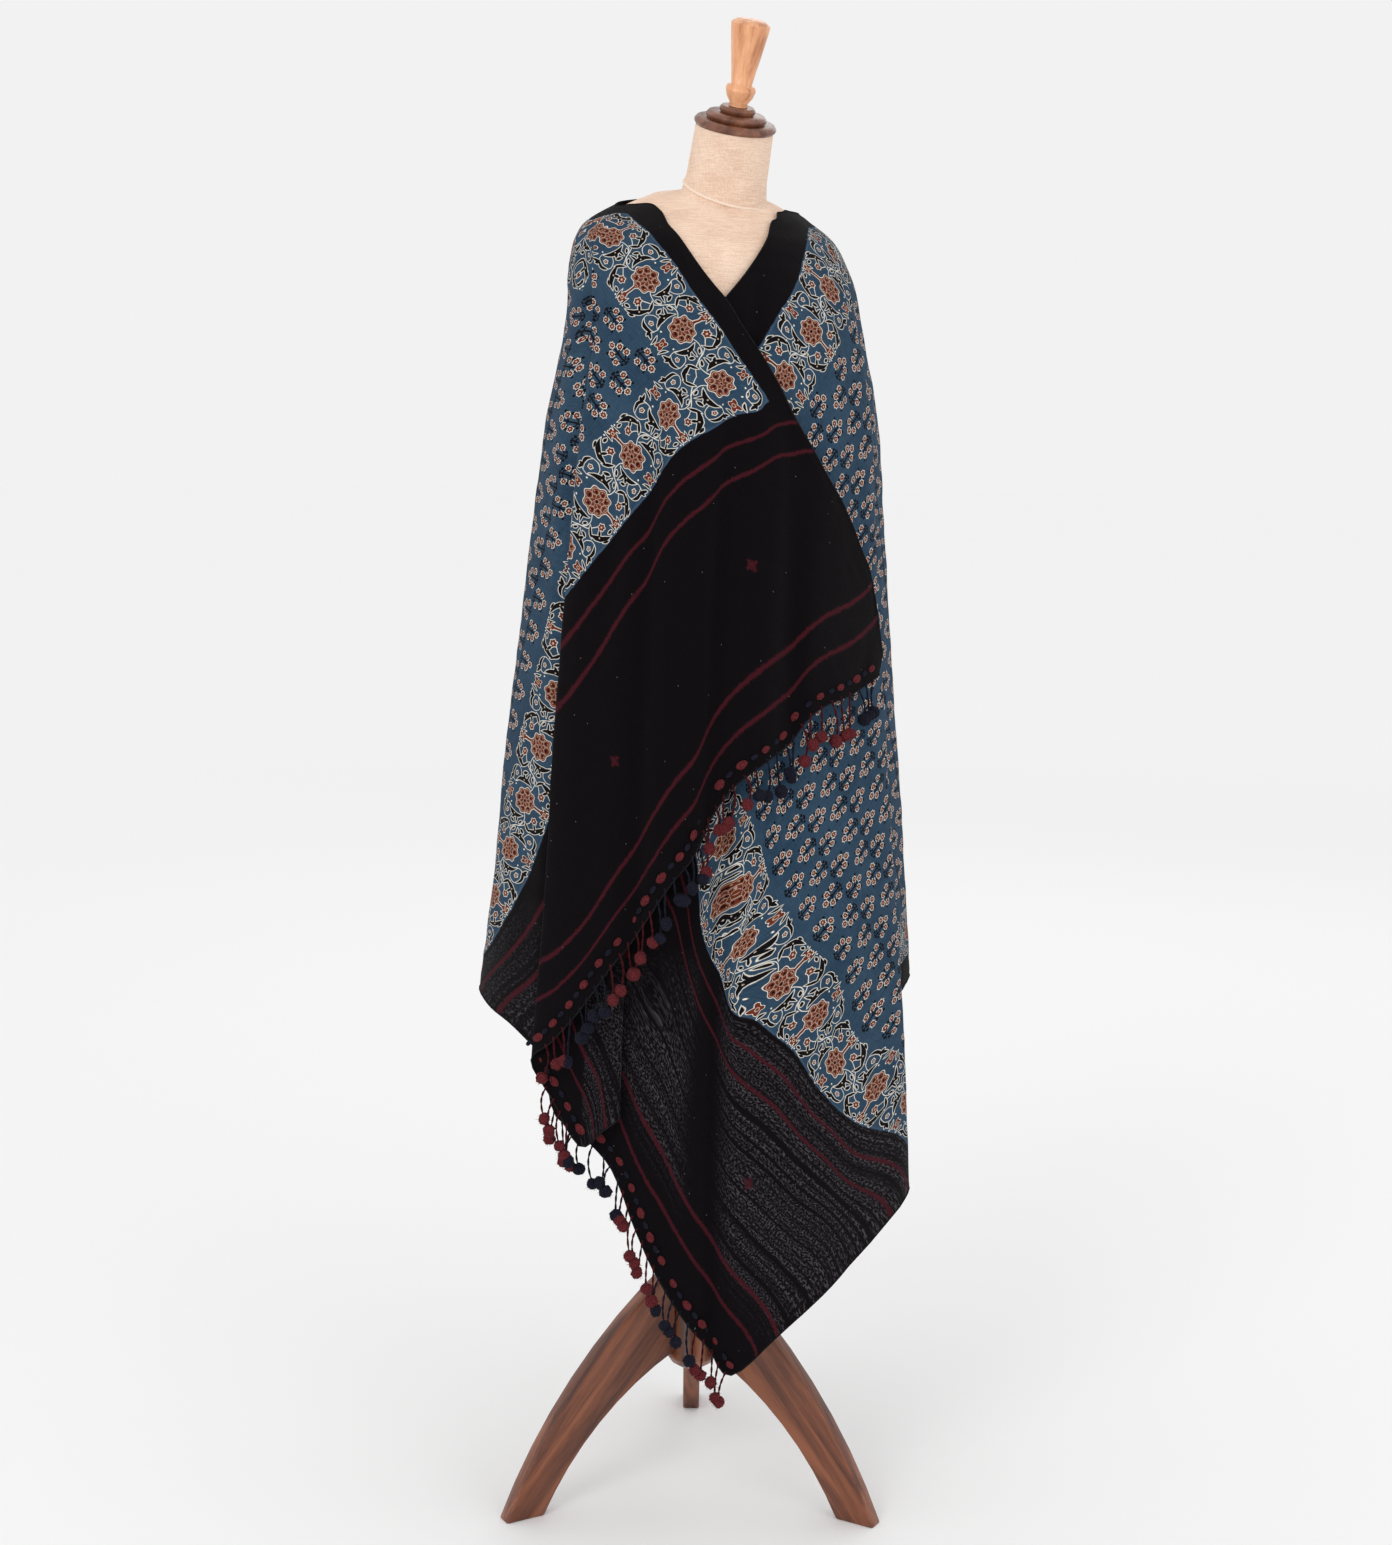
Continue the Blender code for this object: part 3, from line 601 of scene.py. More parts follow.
flat_u, flat_v = split("SeparateXYZ", spread("UVMap", {}, uv_map="flat_cloth"))
clean_u, clean_v = flat_u * 1000.0, flat_v * 1000.0
waver_u, waver_v = split("SeparateColor", speckle(spot(clean_u, clean_v), 0.11, output="Color"))
cloth_u = work("MULTIPLY_ADD", waver_u - 0.5, 1.6, clean_u)
cloth_v = work("MULTIPLY_ADD", waver_v - 0.5, 1.6, clean_v)

from_end = half_length - abs(cloth_u - half_length)
from_edge = half_width - abs(cloth_v - half_width)
past_pallu = from_end - PALLU * 1000
past_border = from_edge - BORDER
inward = least(past_pallu, past_border)

# A sprig of five flowers and ten buds on black stems, in rows that face each other. Only the half of
# it on one side of its middle is worked out, since the other is its mirror image.
near_u = work("WRAP", cloth_u - half_length, SPRIG_U / 2, -SPRIG_U / 2)
near_v = work("WRAP", cloth_v - half_width, SPRIG_V / 2, -SPRIG_V / 2)
next_u = work("WRAP", cloth_u - (half_length - SPRIG_U / 2), SPRIG_U / 2, -SPRIG_U / 2)
next_v = work("WRAP", cloth_v - (half_width - SPRIG_V / 2), SPRIG_V / 2, -SPRIG_V / 2)
own = work("LESS_THAN", abs(near_u) * (2 / SPRIG_U) + abs(near_v) * (2 / SPRIG_V), 1.0)
offset_u = next_u + own * (near_u - next_u)
offset_v = next_v + own * (near_v - next_v)
sprig_inward = least(
    half_length - PALLU * 1000 - abs(cloth_u - offset_u - half_length),
    half_width - BORDER - abs(cloth_v - offset_v - half_width),
)
bare = work("LESS_THAN", sprig_inward, BAND + 12.0) * 50.0
sprig_u = work("MULTIPLY_ADD", own, 2.0, -1.0) * offset_u
offset_v_size = abs(offset_v)
sprig = spot(sprig_u, offset_v_size)
SPRIG_FLOWERS = ((9.6, 0, 3.0), (3.0, 6.2, 2.9), (-6.2, 7.6, 2.9))
SPRIG_BUDS = ((6.8, 9.8, 1.5), (-1.6, 8.6, 1.7), (-12.6, 4.6, 1.6), (-14.4, 1.8, 1.1), (7.6, 4.4, 1.0))
sprig_rust = least(*(flower(sprig, x, y, radius, 7) for x, y, radius in SPRIG_FLOWERS)) + bare
sprig_pale = least(*(disc(sprig, x, y, 0.8) for x, y, _ in SPRIG_FLOWERS)) + bare
sprig_black = least(
    most(offset_v_size - 0.9, abs(sprig_u + 5.5) - 10.5),
    stem(sprig, (-10.5, 0), (-7.4, 4.6), 1.2, 0.7),
    stem(sprig, (-3.0, 0), (1.0, 3.6), -0.8, 0.7),
    *(disc(sprig, *bud) for bud in SPRIG_BUDS),
) + bare

# The scroll border: lobed knots with a bud, and curling stems that swing over between them.
at_end = work("LESS_THAN", past_pallu, past_border)
along_end = cloth_v - half_width
along_edge = work("MULTIPLY_ADD", cloth_u - half_length, REPEAT / SELVEDGE_REPEAT, REPEAT)
along = along_edge + at_end * (along_end - along_edge)
flip = work("SIGN", work("SINE", along * (math.pi / REPEAT) + math.pi / 2))
scroll_x = abs(work("WRAP", along, REPEAT / 2, -REPEAT / 2))
scroll_y = flip * (inward - BAND_MIDDLE)
scroll = spot(scroll_x, scroll_y)
tulip = spot(scroll_x * 1.5, scroll_y)
outside = work("GREATER_THAN", inward, BAND + 3.0) * 50.0

bearing = work("ARCTAN2", scroll_x, scroll_y)
reach = apart(scroll, 0, 0)
knot = work("MULTIPLY_ADD", work("COSINE", bearing * 8.0), -1.2, reach - 14.3)
eighth = work("WRAP", bearing, math.pi / 8, -math.pi / 8)
curl = spot(reach * work("COSINE", eighth), reach * work("SINE", eighth))
knot_pale = least(
    hoop(curl, 10.2, 0, 3.6, 0.2),
    hoop(curl, 5.6, 2.3, 2.4, 0.16),
    disc(curl, 11.6, 1.0, 0.5),
    abs(reach - 2.4) - 0.2,
)
knot_dark = least(disc(curl, 9.6, -0.6, 1.2), disc(curl, 6.9, 2.9, 0.8), reach - 1.5)
scroll_rust = least(
    knot,
    most(scroll_x - 1.3, abs(scroll_y - 21) - 7),
    flower(scroll, 0, 30.5, 4.2, 5, 0.28),
    flower(tulip, 0, -28.5, 6.2, 4, -0.28),
    flower(scroll, 15.5, 20.7, 3.6, 6),
    flower(scroll, 23.3, -24.2, 2.0, 5),
)
SCROLL_DOTS = ((15.5, 20.7, 1.1), (23.3, -24.2, 0.7), (25.2, 26.4, 0.8), (21.2, -9.0, 0.8))
scroll_dot = least(
    *(disc(scroll, *dot) for dot in SCROLL_DOTS),
    hoop(scroll, 0, 30.5, 1.6, 0.38),
    hoop(tulip, 0, -28.5, 2.2, 0.4),
)
scroll_vine = least(
    stem(scroll, (14, 4), (33, 0), 5.0, 0.36),
    stem(scroll, (33, 0), (17.5, 17), -2.2, 0.34),
    hoop(scroll, 23.3, -24.2, 9.0, 0.3),
    disc(scroll, 11.5, -20.5, 0.9),
    disc(scroll, 7.5, 35.5, 0.8),
)
SCROLL_LEAVES = (  # root, tip, bulge of the outer and of the inner side
    ((12.4, 35.5), (30.6, 14.1), 7.4, 1.9),
    ((25.0, 26.0), (19.0, 21.5), 1.9, -1.5),
    ((18.4, 3.5), (15.8, -21.5), 7.4, 1.8),
    ((22.0, -7.5), (27.4, -12.0), 1.9, -1.6),
    ((10.5, -35.0), (21.5, -31.0), 2.6, -1.2),
    ((16.0, -36.5), (18.5, -29.5), 1.6, -1.8),
    ((28.4, -13.0), (31.4, -6.0), 1.8, -1.8),
    ((24.5, 4.8), (29.6, 1.2), 1.5, -1.5),
    ((8.2, 32.0), (14.0, 30.6), 1.7, -1.6),
    ((31.5, -27.5), (15.2, -28.2), 6.2, 2.4),
    ((32.4, 19.5), (23.5, 9.0), 2.4, -0.9),
    ((31.0, -2.5), (20.5, -4.0), 1.8, -0.8),
    ((6.0, -37.5), (9.6, -27.0), 1.9, -0.4),
    ((4.6, 36.5), (6.0, 26.5), 0.5, -1.7),
    ((18.0, 36.5), (25.5, 33.0), 1.6, -1.2),
)
scroll_black = least(*(leaf(scroll, *sides) for sides in SCROLL_LEAVES))
OUTLINE = 0.68
rust = least(sprig_rust, scroll_rust + outside)
black = least(sprig_black, scroll_black + outside)
pale = least(rust - OUTLINE, least(scroll_black - OUTLINE * 0.85, scroll_vine) + outside)
inner_black = most(knot_dark, knot) + outside
inner_pale = least(sprig_pale, least(scroll_dot, most(knot_pale, knot + 0.6)) + outside)

# Yarns: weft streaks run across the width and warp streaks along the length.
weft = speckle(spot(clean_u * 1.7, clean_v * 0.07), 1.0, 2.0)
warp = speckle(spot(clean_u * 0.07, clean_v * 1.7), 1.0, 2.0)
blotch = speckle(spot(clean_u, clean_v), 0.018, 3.0)
yarns = weft + warp
shade = work("MULTIPLY_ADD", yarns - 1.0, 1.1, blotch, held=True)
indigo = blended(shade, (0.015, 0.036, 0.066), (0.038, 0.076, 0.122))
margin = covered(inward - 2.2, 1.2)
indigo = blended(margin * 0.45, indigo, (0.06, 0.105, 0.175))
printed = blended(covered(pale), indigo, (0.82, 0.77, 0.68))
printed = blended(covered(black), printed, (0.004, 0.0035, 0.0045))
printed = blended(covered(rust), printed, (0.135, 0.026, 0.013))
printed = blended(covered(most(inner_black, rust + OUTLINE)), printed, (0.005, 0.004, 0.005))
printed = blended(covered(inner_pale, 0.6) * 0.85, printed, (0.62, 0.50, 0.38))

# The plain black of the borders and ends, with the stripes, crosses and pale slubs, and painted light
# through its open weave where one layer hangs before the light.
painted_backlight_share = spread("Attribute", {}, "Fac", attribute_name="painted_backlight")
bars = speckle(spot(clean_u * 0.24, clean_v * 0.0008), 1.0, 3.0)
pores = speckle(spot(clean_u * 0.55, clean_v * 0.24), 1.0, 2.0)
# Painted light: paler speckle in weft bars stands in for light showing through the open weave.
painted_backlight_speckle = work("MULTIPLY_ADD", pores, 7.0, -3.3, held=True)
painted_backlight_speckle = painted_backlight_speckle * work("MULTIPLY_ADD", bars, 3.6, -1.3, held=True)
plain = blended(yarns * 0.5, (0.0010, 0.0006, 0.0009), (0.0050, 0.0036, 0.0048))
plain = blended(painted_backlight_speckle * painted_backlight_share, plain, (0.062, 0.056, 0.064))
STRIPES = ((252.0, 2.0), (220.0, 2.0), (64.4, 2.0), (35.0, 1.8))  # distance from the end, half width
CROSS_START, CROSS_PITCH, CROSS_FROM_END = 155.0, 279.0, 140.0
stripes = least(*(abs(from_end - middle) - half for middle, half in STRIPES))
cross_v = work("WRAP", cloth_v - CROSS_START, CROSS_PITCH / 2, -CROSS_PITCH / 2)
cross_end = abs(from_end - CROSS_FROM_END)
crosses = least(
    most(abs(cross_v) - 1.5, cross_end - 6.5),
    most(abs(cross_v) - 6.5, cross_end - 1.5),
    most(abs(cross_v) + cross_end - 6.5, abs(abs(cross_v) - cross_end) - 1.2),
)
frayed = work("MULTIPLY_ADD", warp, 5.0, least(stripes, crosses) - 2.5)
maroon = blended(yarns * 0.5, (0.018, 0.002, 0.004), (0.085, 0.011, 0.020))
plain = blended(covered(frayed, 1.4) * 0.92, plain, maroon)
slubs = {"Vector": spot(clean_u, clean_v * 1.6), "Scale": 0.013}
slubs = spread("TexVoronoi", slubs, "Distance", voronoi_dimensions="2D")
plain = blended(work("LESS_THAN", slubs, 0.007) * 0.3, plain, (0.6, 0.58, 0.55))
surface = blended(covered(-inward, 1.2), plain, printed)


def finished(look, colour, height, strength, distance, values):
    """Gives a look its colour, its raised pattern and its shader's own values."""
    raised = added(look, "Bump", {"Strength": strength, "Distance": distance, "Height": height})
    give(look, look.node_tree.nodes["Principled BSDF"], {"Base Color": colour, "Normal": raised, **values})


cotton_finish = {"Roughness": 0.88, "Specular IOR Level": 0.06}
cotton_finish |= {"Sheen Weight": 0.025, "Sheen Roughness": 0.5}
finished(cotton, surface.socket, yarns.socket, 0.5, 0.0006, cotton_finish)
cloth_mesh.materials.append(cotton)

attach(dupatta, "root")
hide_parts("cloth_over", "cloth_back", "cloth_under")


# The fringed ends: two-ply cords hang from each end, each with a fuzzy wool pompom, in groups of maroon
# and near black. A row of stitched tufts runs just inside each end.
def shaded(look, share, *stops):
    """A colour that follows a pattern through stops of (position, colour)."""
    ramp = look.node_tree.nodes.new("ShaderNodeValToRGB")
    give(look, ramp, {0: share})
    marks = ramp.color_ramp.elements
    marks[0].position, marks[1].position = stops[0][0], stops[-1][0]
    for position, _ in stops[1:-1]:
        marks.new(position)
    for mark, (_, colour) in zip(marks, stops):
        mark.color = (*colour, 1)
    return ramp.outputs[0]


def yarn_look(name, deep, light):
    """Wool yarn, uneven along its fibres."""
    look = bare_look(name)
    place = added(look, "TexCoord", {}, "Object")
    fibres = added(look, "TexNoise", {"Vector": place, "Scale": 900.0, "Detail": 3.0}, "Fac")
    shades = shaded(look, fibres, (0.32, deep), (0.68, light))
    wool_finish = {"Roughness": 0.95, "Specular IOR Level": 0.05, "Sheen Weight": 0.02}
    finished(look, shades, fibres, 0.7, 0.001, wool_finish)
    return look


maroon_yarn = yarn_look("maroon_yarn", (0.040, 0.006, 0.008), (0.155, 0.027, 0.031))
navy_yarn = yarn_look("navy_yarn", (0.003, 0.003, 0.007), (0.017, 0.017, 0.030))
cord_yarn = yarn_look("cord_yarn", (0.016, 0.002, 0.003), (0.085, 0.012, 0.016))
RED, DARK, CORD_RED = 0, 1, 2
STRAND_PITCH = 0.0145
STRAND_LENGTH = 0.034
STRAND_ROOT = 0.003
STRAND_BOW = 0.010
STRAND_STANDOFF = 0.0045
CLUMPING = 0.32
STRAND_STEPS = 12
STRAND_SIDES = 5
PLY_RADIUS = 0.00075
PLY_TWIST = 1.15
POMPOM_RADIUS = 0.0064
POMPOM_LUMPS = 0.26
FIBRES = 64
FIBRE_HALF_WIDTH = 0.00022
TUFT_PITCH = 0.0285
TUFT_INSET = 0.0125
TUFT_STANDOFF = 0.0007
MAROON_TUFT = (0.0064, 0.0043, 0.0018)
DARK_TUFT = (0.0044, 0.0026, 0.0012)


def edge_walk(first, last, spacing, inset=0.0):
    """Places spaced evenly along the hem: the point, the way along, off the cloth's face and down it."""
    fine = np.linspace(first, last, int(40 * abs(last - first)) + 2)
    edge = cloth(fine, np.ones_like(fine))
    travelled = np.concatenate([[0], np.cumsum(np.linalg.norm(np.diff(edge, axis=0), axis=1))])
    count = int(travelled[-1] / spacing)
    spare = (travelled[-1] - (count - 1) * spacing) / 2
    found = []
    for number in range(count):
        place = np.interp(spare + number * spacing, travelled, fine)
        at = cloth(np.array([place]), np.array([1.0]))[0]
        ahead = cloth(np.array([place + 0.02]), np.array([1.0]))[0]
        above = cloth(np.array([place]), np.array([0.97]))[0]
        along = Vector(ahead - at).normalized()
        upward = Vector(above - at)
        down = -(upward - along * upward.dot(along)).normalized()
        face = along.cross(down).normalized()
        if face.dot(Vector((at[0] - CENTRE.x, at[1] - CENTRE.y, 0))) < 0:
            face = -face
        found.append((Vector(at) - down * inset, along, face, down))
    return found


def add_cord(mesh, points, yarn):
    """A two-ply cord along a row of points, with closed ends."""
    for ply in (0, math.pi):
        before = None
        for step, point in enumerate(points):
            ahead = points[min(step + 1, len(points) - 1)] - points[max(step - 1, 0)]
            side = ahead.orthogonal().normalized()
            other = ahead.cross(side).normalized()
            twist = ply + PLY_TWIST * step
            middle = point + (side * math.cos(twist) + other * math.sin(twist)) * PLY_RADIUS * 0.8
            turns = (math.tau * corner / STRAND_SIDES for corner in range(STRAND_SIDES))
            ring = [
                mesh.verts.new(middle + (side * math.cos(turn) + other * math.sin(turn)) * PLY_RADIUS)
                for turn in turns
            ]
            if before is None:
                mesh.faces.new(ring[::-1]).material_index = yarn
            else:
                for corner in range(STRAND_SIDES):
                    after = (corner + 1) % STRAND_SIDES
                    face = mesh.faces.new((before[corner], before[after], ring[after], ring[corner]))
                    face.material_index = yarn
                    face.smooth = True
            before = ring
        mesh.faces.new(before).material_index = yarn


def add_pompom(mesh, middle, yarn, chance):
    """A lumpy ball of cut yarn with fibre ends standing out of it."""
    made = bmesh.ops.create_icosphere(mesh, subdivisions=3, radius=POMPOM_RADIUS)
    squash = Vector([1 + chance.uniform(-0.1, highest) for highest in (0.1, 0.1, 0.14)])
    drift = Vector([chance.uniform(0, 9) for _ in range(3)])
    for vertex in made["verts"]:
        lump = noise.noise(vertex.co * 420 + drift)
        vertex.co = middle + vertex.co * squash * (1 + POMPOM_LUMPS * lump)
        for face in vertex.link_faces:
            face.material_index = yarn
            face.smooth = True
    for _ in range(FIBRES):
        way = Vector([chance.gauss(0, 1) for _ in range(3)]).normalized()
        side = way.orthogonal().normalized() * FIBRE_HALF_WIDTH
        root = middle + way * POMPOM_RADIUS * 0.93
        bent = way + Vector((chance.uniform(-0.3, 0.3), chance.uniform(-0.3, 0.3), -0.1))
        tip = middle + bent * (POMPOM_RADIUS * chance.uniform(1.12, 1.36))
        corners = [mesh.verts.new(point) for point in (root - side, root + side, tip)]
        mesh.faces.new(corners).material_index = yarn


def add_tuft(mesh, place, size, yarn, chance):
    """A flat oval of satin stitches lying on the cloth."""
    at, along, face, down = place
    made = bmesh.ops.create_icosphere(mesh, subdivisions=2, radius=1.0)
    drift = chance.uniform(0, 9)
    for vertex in made["verts"]:
        x, y, z = vertex.co
        lump = 1 + 0.16 * noise.noise(Vector((x * 2 + drift, y * 2, z * 2)))
        flat = (along * x * size[0] + down * y * size[1]) * lump
        vertex.co = at + flat + face * (z * size[2] + TUFT_STANDOFF)
        for side in vertex.link_faces:
            side.material_index = yarn
            side.smooth = True


def closed_piece(name, mesh, looks):
    """A piece from a closed mesh in the making, its faces turned outwards."""
    bmesh.ops.recalc_face_normals(mesh, faces=mesh.faces)
    made = bpy.data.meshes.new(name)
    mesh.to_mesh(made)
    mesh.free()
    for look in looks:
        made.materials.append(look)
    piece = bpy.data.objects.new(name, made)
    bpy.context.scene.collection.objects.link(piece)
    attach(piece, "root")
    return piece


def yarn_piece(name, mesh):
    """A finished piece of the fringe, from a mesh in the making."""
    return closed_piece(name, mesh, (maroon_yarn, navy_yarn, cord_yarn))


def fringe(name, stretches, groups, seed):
    """Cords and pompoms along stretches of hem, coloured by groups of (count, yarn)."""
    chance = random.Random(seed)
    order = [yarn for count, yarn in groups for _ in range(count)]
    mesh = bmesh.new()
    number = 0
    for first, last in stretches:
        for at, along, face, down in edge_walk(first, last, STRAND_PITCH):
            yarn = order[number % len(order)]
            length = STRAND_LENGTH * chance.uniform(0.78, 1.2)
            clump = (1 - number % 3) * STRAND_PITCH * CLUMPING
            lean = along * (clump + chance.uniform(-0.0025, 0.0025)) + face * STRAND_STANDOFF
            curve = along * chance.uniform(-0.006, 0.006)
            points = []
            for step in range(STRAND_STEPS + 1):
                run = step / STRAND_STEPS
                fall = Vector((0, 0, -1)) * length * run + down * (1 - run) * run * STRAND_BOW
                leaning = at - down * STRAND_ROOT * (1 - run) + fall + lean * run
                points.append(leaning + curve * math.sin(math.pi * run))
            add_cord(mesh, points, DARK if yarn == DARK else CORD_RED)
            add_pompom(mesh, points[-1], yarn, chance)
            number += 1
    return yarn_piece(name, mesh)


def tufts(name, first, last, seed):
    """The row of stitched tufts, maroon with a smaller dark one between each two."""
    chance = random.Random(seed)
    mesh = bmesh.new()
    for number, place in enumerate(edge_walk(first, last, TUFT_PITCH / 2, TUFT_INSET)):
        if number % 2:
            add_tuft(mesh, place, DARK_TUFT, DARK, chance)
        else:
            size = chance.uniform(0.8, 1.08)
            long, wide, thick = MAROON_TUFT
            add_tuft(mesh, place, (long * size, wide * size, thick), RED, chance)
    return yarn_piece(name, mesh)


over_cords = fringe(
    "fringe_cords_over",
    [(0.0, 15.5), (16.5, 18.0)],
    [(3, DARK), (6, RED), (5, DARK), (6, RED), (6, DARK), (6, RED), (5, DARK), (7, RED), (5, DARK)],
    11,
)
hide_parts("fringe_over", "fringe_over_turned")
under_cords = fringe(
    "fringe_cords_under",
    [(49.0, 56.0)],
    [(5, RED), (5, DARK), (7, RED), (5, DARK), (9, RED)],
    12,
)
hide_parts("fringe_under")
over_tufts = tufts("stitched_tufts_over", 0.1, 17.9, 13)
under_tufts = tufts("stitched_tufts_under", 49.1, 57.5, 14)


# The edges: a fine black cord of the cloth's own yarns along the neck selvedge, and one round the rest,
# which is the over end, the lower selvedge and the under end.
def tube_along(name, points, radius, sides, look, closed=False):
    """A thin round cord through a row of points."""
    mesh = bmesh.new()
    points = [Vector(point) for point in points]
    count = len(points)
    rings = []
    for index, point in enumerate(points):
        if closed:
            ahead = points[(index + 1) % count] - points[index - 1]
        else:
            ahead = points[min(index + 1, count - 1)] - points[max(index - 1, 0)]
        side = ahead.cross(Vector((0, 0, 1)))
        side = side.normalized() if side.length > 1e-7 else Vector((1, 0, 0))
        other = ahead.cross(side).normalized()
        turns = [math.tau * corner / sides for corner in range(sides)]
        outward = [side * math.cos(turn) + other * math.sin(turn) for turn in turns]
        rings.append([mesh.verts.new(point + way * radius) for way in outward])
    for low, high in zip(rings, rings[1:] + rings[:1] if closed else rings[1:]):
        for corner in range(sides):
            after = (corner + 1) % sides
            mesh.faces.new((low[corner], low[after], high[after], high[corner])).smooth = True
    if not closed:
        mesh.faces.new(rings[0][::-1])
        mesh.faces.new(rings[-1])
    return closed_piece(name, mesh, (look,))


black_cord = yarn_look("black_selvedge_yarn", (0.003, 0.0025, 0.003), (0.02, 0.018, 0.02))
neck_edge = tube_along("neck_selvedge", cloth_points[::2, 0], 0.0008, 6, black_cord)
hem_edge = tube_along("hem_cord", cloth_points[::2, -1], 0.0009, 6, black_cord)


# The dress form: a limbless padded torso and neck under a tight beige linen cover, with a piped seam
# where the neck joins the shoulders.
def merged_copy(node, name):
    """A CAD node's mesh as a new piece, its loose triangles joined."""
    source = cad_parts[node]
    mesh = source.data.copy()
    mesh.name = name
    loose = bmesh.new()
    loose.from_mesh(mesh)
    bmesh.ops.remove_doubles(loose, verts=loose.verts, dist=0.00002)
    bmesh.ops.dissolve_limit(loose, angle_limit=math.radians(0.5), verts=loose.verts, edges=loose.edges)
    loose.to_mesh(mesh)
    loose.free()
    mesh.materials.clear()
    piece = bpy.data.objects.new(name, mesh)
    bpy.context.scene.collection.objects.link(piece)
    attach(piece, "root")
    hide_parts(node)
    return piece


def finish_piece(piece, smooth_angle):
    bpy.ops.object.select_all(action="DESELECT")
    piece.select_set(True)
    bpy.context.view_layer.objects.active = piece
    for modifier in list(piece.modifiers):
        bpy.ops.object.modifier_apply(modifier=modifier.name)
    bpy.ops.object.shade_smooth_by_angle(angle=math.radians(smooth_angle))


linen = bare_look("beige_linen")
place = added(linen, "TexCoord", {}, "Object")
threads = []
for stretch in ((1, 1, 0.06), (0.06, 0.06, 1)):
    stretched = added(linen, "Mapping", {"Vector": place, "Scale": stretch})
    threads.append(added(linen, "TexNoise", {"Vector": stretched, "Scale": 1100.0, "Detail": 2.0}, "Fac"))
crossed = added(linen, "Math", {0: threads[0], 1: threads[1]}, operation="ADD")
age = added(linen, "TexNoise", {"Vector": place, "Scale": 28.0, "Detail": 4.0}, "Fac")
faint = added(linen, "Math", {0: age, 1: 0.35}, operation="MULTIPLY")
mixed = added(linen, "Math", {0: crossed, 1: 0.5, 2: faint}, operation="MULTIPLY_ADD")
linen_shades = shaded(linen, mixed, (0.52, (0.72, 0.49, 0.36)), (0.82, (0.92, 0.71, 0.56)))
linen_finish = {"Roughness": 0.85, "Specular IOR Level": 0.2, "Sheen Weight": 0.1}
finished(linen, linen_shades, crossed, 0.4, 0.0006, linen_finish)

form_cover = merged_copy("form_body", "form_cover")
form_cover.data.materials.append(linen)
finish_piece(form_cover, 50)

NECK_BASE = Vector((0.0185 + CENTRE.x, -0.005 + CENTRE.y, 1.437))
NECK_LEAN = math.radians(20)
FORM_YAW = math.radians(24)
neck_forward = Vector((math.sin(FORM_YAW), -math.cos(FORM_YAW), 0))
neck_up = neck_forward * math.sin(NECK_LEAN) + Vector((0, 0, math.cos(NECK_LEAN)))
neck_across = Vector((math.cos(FORM_YAW), math.sin(FORM_YAW), 0))
neck_forward = neck_up.cross(neck_across)
SEAM_STEPS = 72
seam = []
for step in range(SEAM_STEPS):
    turn_x, turn_y = math.cos(math.tau * step / SEAM_STEPS), math.sin(math.tau * step / SEAM_STEPS)
    rise = 0.006 - 0.006 * turn_x + 0.004 * turn_y
    across = neck_across * (0.0475 - 0.17 * rise) * turn_x
    seam.append(NECK_BASE + neck_up * rise + across + neck_forward * 0.0403 * turn_y)
piping = yarn_look("pale_piping", (0.86, 0.68, 0.54), (0.97, 0.82, 0.70))
tube_along("neck_seam", seam, 0.0016, 8, piping, closed=True)


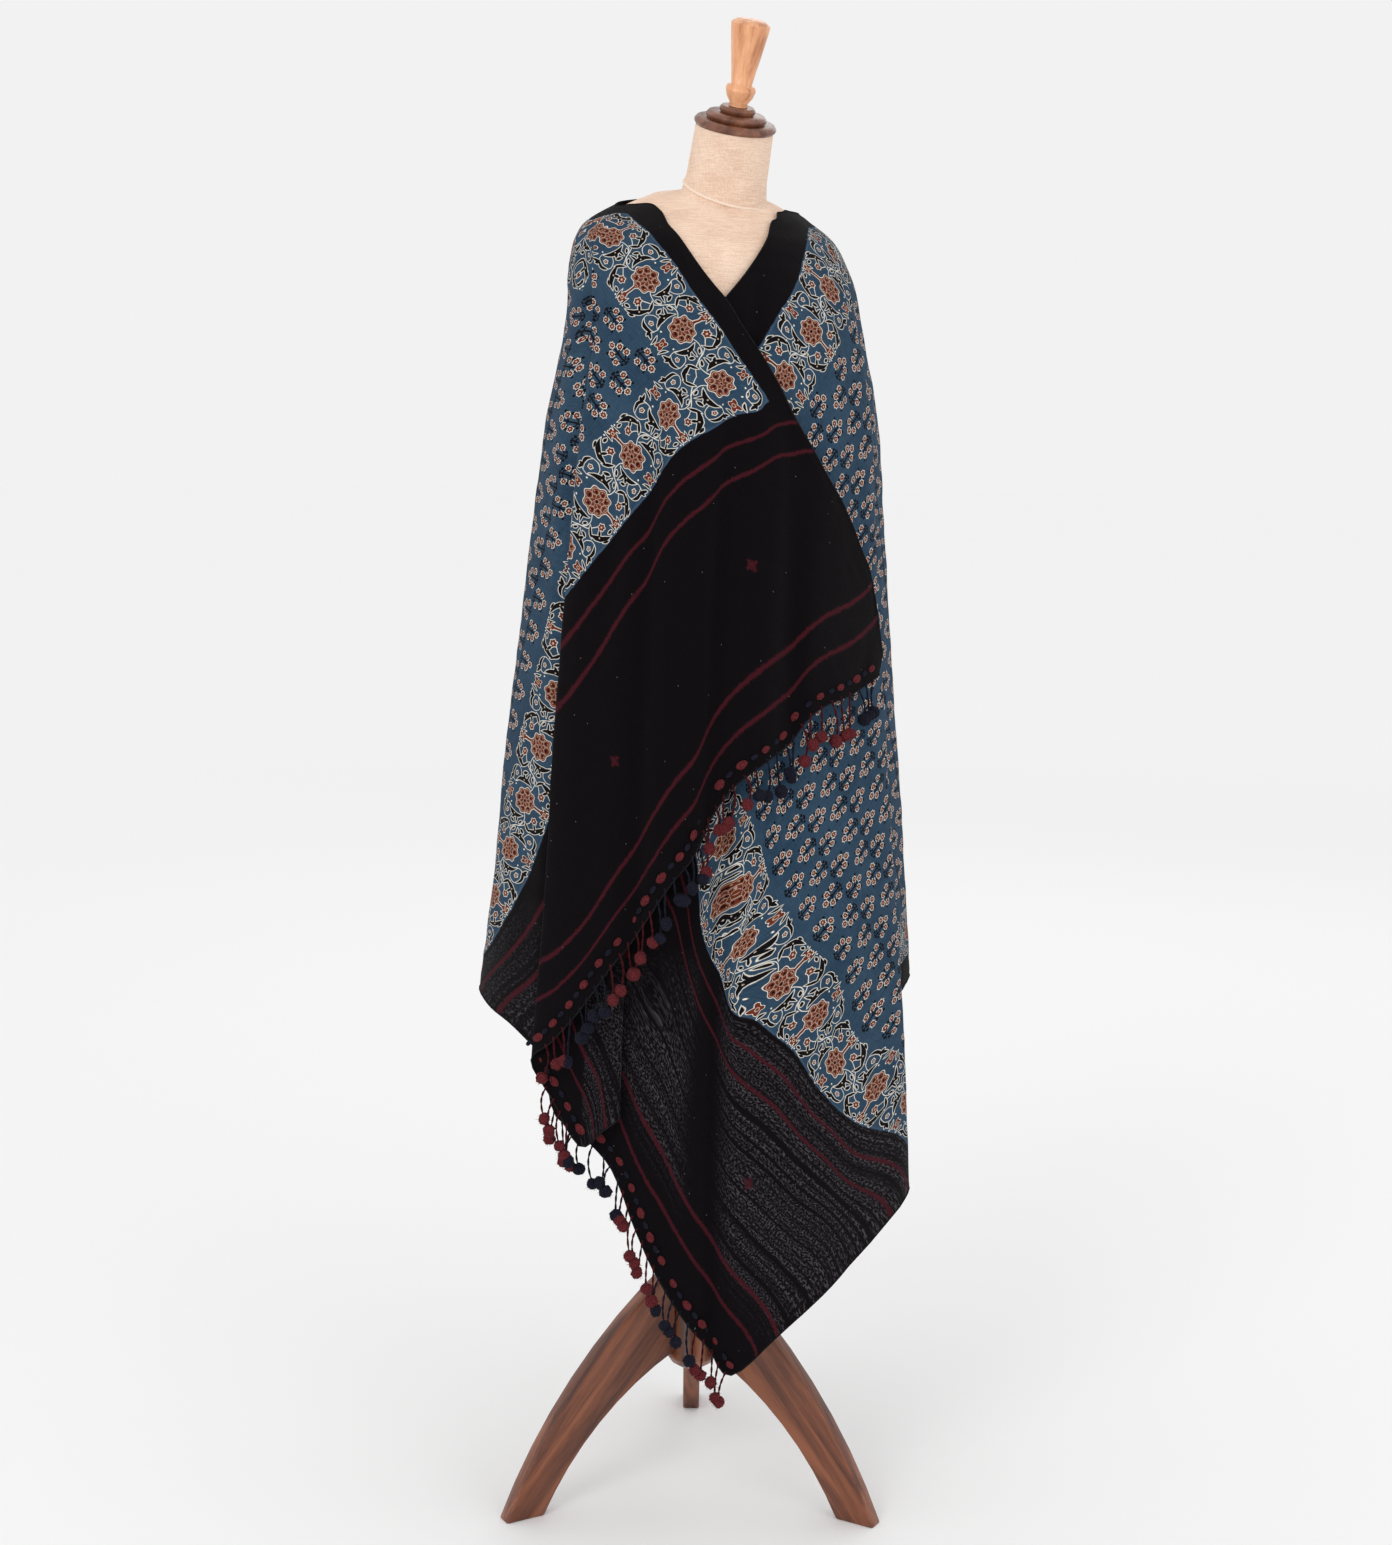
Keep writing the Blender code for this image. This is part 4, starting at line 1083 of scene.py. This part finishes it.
# The wooden parts: a neck cap of three turned discs, a turned handle on top, a pole down to a round
# hub, and three board legs cut to a curve, all hardwood with a satin varnish.
def wood_look(name, deep, mid, light, turn=(0, 0, 0), place_at=(0, 0, 0)):
    """Varnished hardwood with its grain along Z once the pattern is turned."""
    look = bare_look(name)
    place = added(look, "TexCoord", {}, "Object")
    along = {"Vector": place, "Location": place_at, "Rotation": turn}
    grain = added(look, "Mapping", along, vector_type="TEXTURE")
    grain = added(look, "Mapping", {"Vector": grain, "Scale": (1, 1, 0.07)})
    figure = {"Vector": grain, "Scale": 75.0, "Detail": 5.0, "Distortion": 0.7}
    figure = added(look, "TexNoise", figure, "Fac")
    pores = added(look, "TexNoise", {"Vector": grain, "Scale": 900.0, "Detail": 2.0}, "Fac")
    both = added(look, "Math", {0: pores, 1: 0.22, 2: figure}, operation="MULTIPLY_ADD")
    shine = added(look, "MapRange", {"Value": both, "To Min": 0.50, "To Max": 0.28})
    shades = shaded(look, both, (0.42, deep), (0.60, mid), (0.78, light))
    varnish = {"Roughness": shine, "Coat Weight": 0.15, "Coat Roughness": 0.25}
    finished(look, shades, pores, 0.25, 0.0005, varnish)
    return look


BROWN = ((0.056, 0.012, 0.004), (0.148, 0.040, 0.014), (0.265, 0.080, 0.030))
DEEP_BROWN = ((0.075, 0.022, 0.010), (0.16, 0.055, 0.027), (0.26, 0.105, 0.055))
HONEY = ((0.48, 0.18, 0.07), (0.76, 0.35, 0.168), (0.92, 0.50, 0.27))
upright_wood = wood_look("upright_brown_wood", *BROWN)
cap_wood = wood_look("cap_brown_wood", *DEEP_BROWN, turn=(math.radians(70), 0, FORM_YAW))
handle_wood = wood_look("handle_honey_wood", *HONEY, turn=(NECK_LEAN, 0, FORM_YAW))


def turned_piece(node, name, look):
    piece = merged_copy(node, name)
    piece.data.materials.append(look)
    finish_piece(piece, 30)
    return piece


turned_piece("neck_cap", "neck_cap_discs", cap_wood)
turned_piece("finial", "turned_handle", handle_wood)
turned_piece("pole", "stand_pole", upright_wood)
turned_piece("hub", "stand_hub", upright_wood)
LEG_ROOT_HEIGHTS = (0.262, 0.160)
LEG_FOOT_REACHES = (0.238, 0.192)
HUB_RADIUS = 0.027
LEG_SLOPE = math.atan2(sum(LEG_ROOT_HEIGHTS) / 2, sum(LEG_FOOT_REACHES) / 2 - HUB_RADIUS)
for node, name, angle, grain_shift in (
    ("leg_right", "board_leg_right", -30.0, 0.00988),
    ("leg_rear", "board_leg_rear", 90.0, 0.00894),
    ("leg_left", "board_leg_left", 210.0, 0.00468),
):
    piece = merged_copy(node, name)
    turn = Matrix.Rotation(math.radians(angle), 3, "Z") @ Matrix.Rotation(math.pi / 2 + LEG_SLOPE, 3, "Y")
    leg_wood = wood_look(name + "_wood", *BROWN, turn=turn.to_euler(), place_at=(grain_shift, 0, 0))
    piece.data.materials.append(leg_wood)
    arris = piece.modifiers.new("Arris", "BEVEL")
    arris.width = 0.0022
    arris.segments = 2
    arris.limit_method = "ANGLE"
    arris.angle_limit = math.radians(50)
    finish_piece(piece, 30)
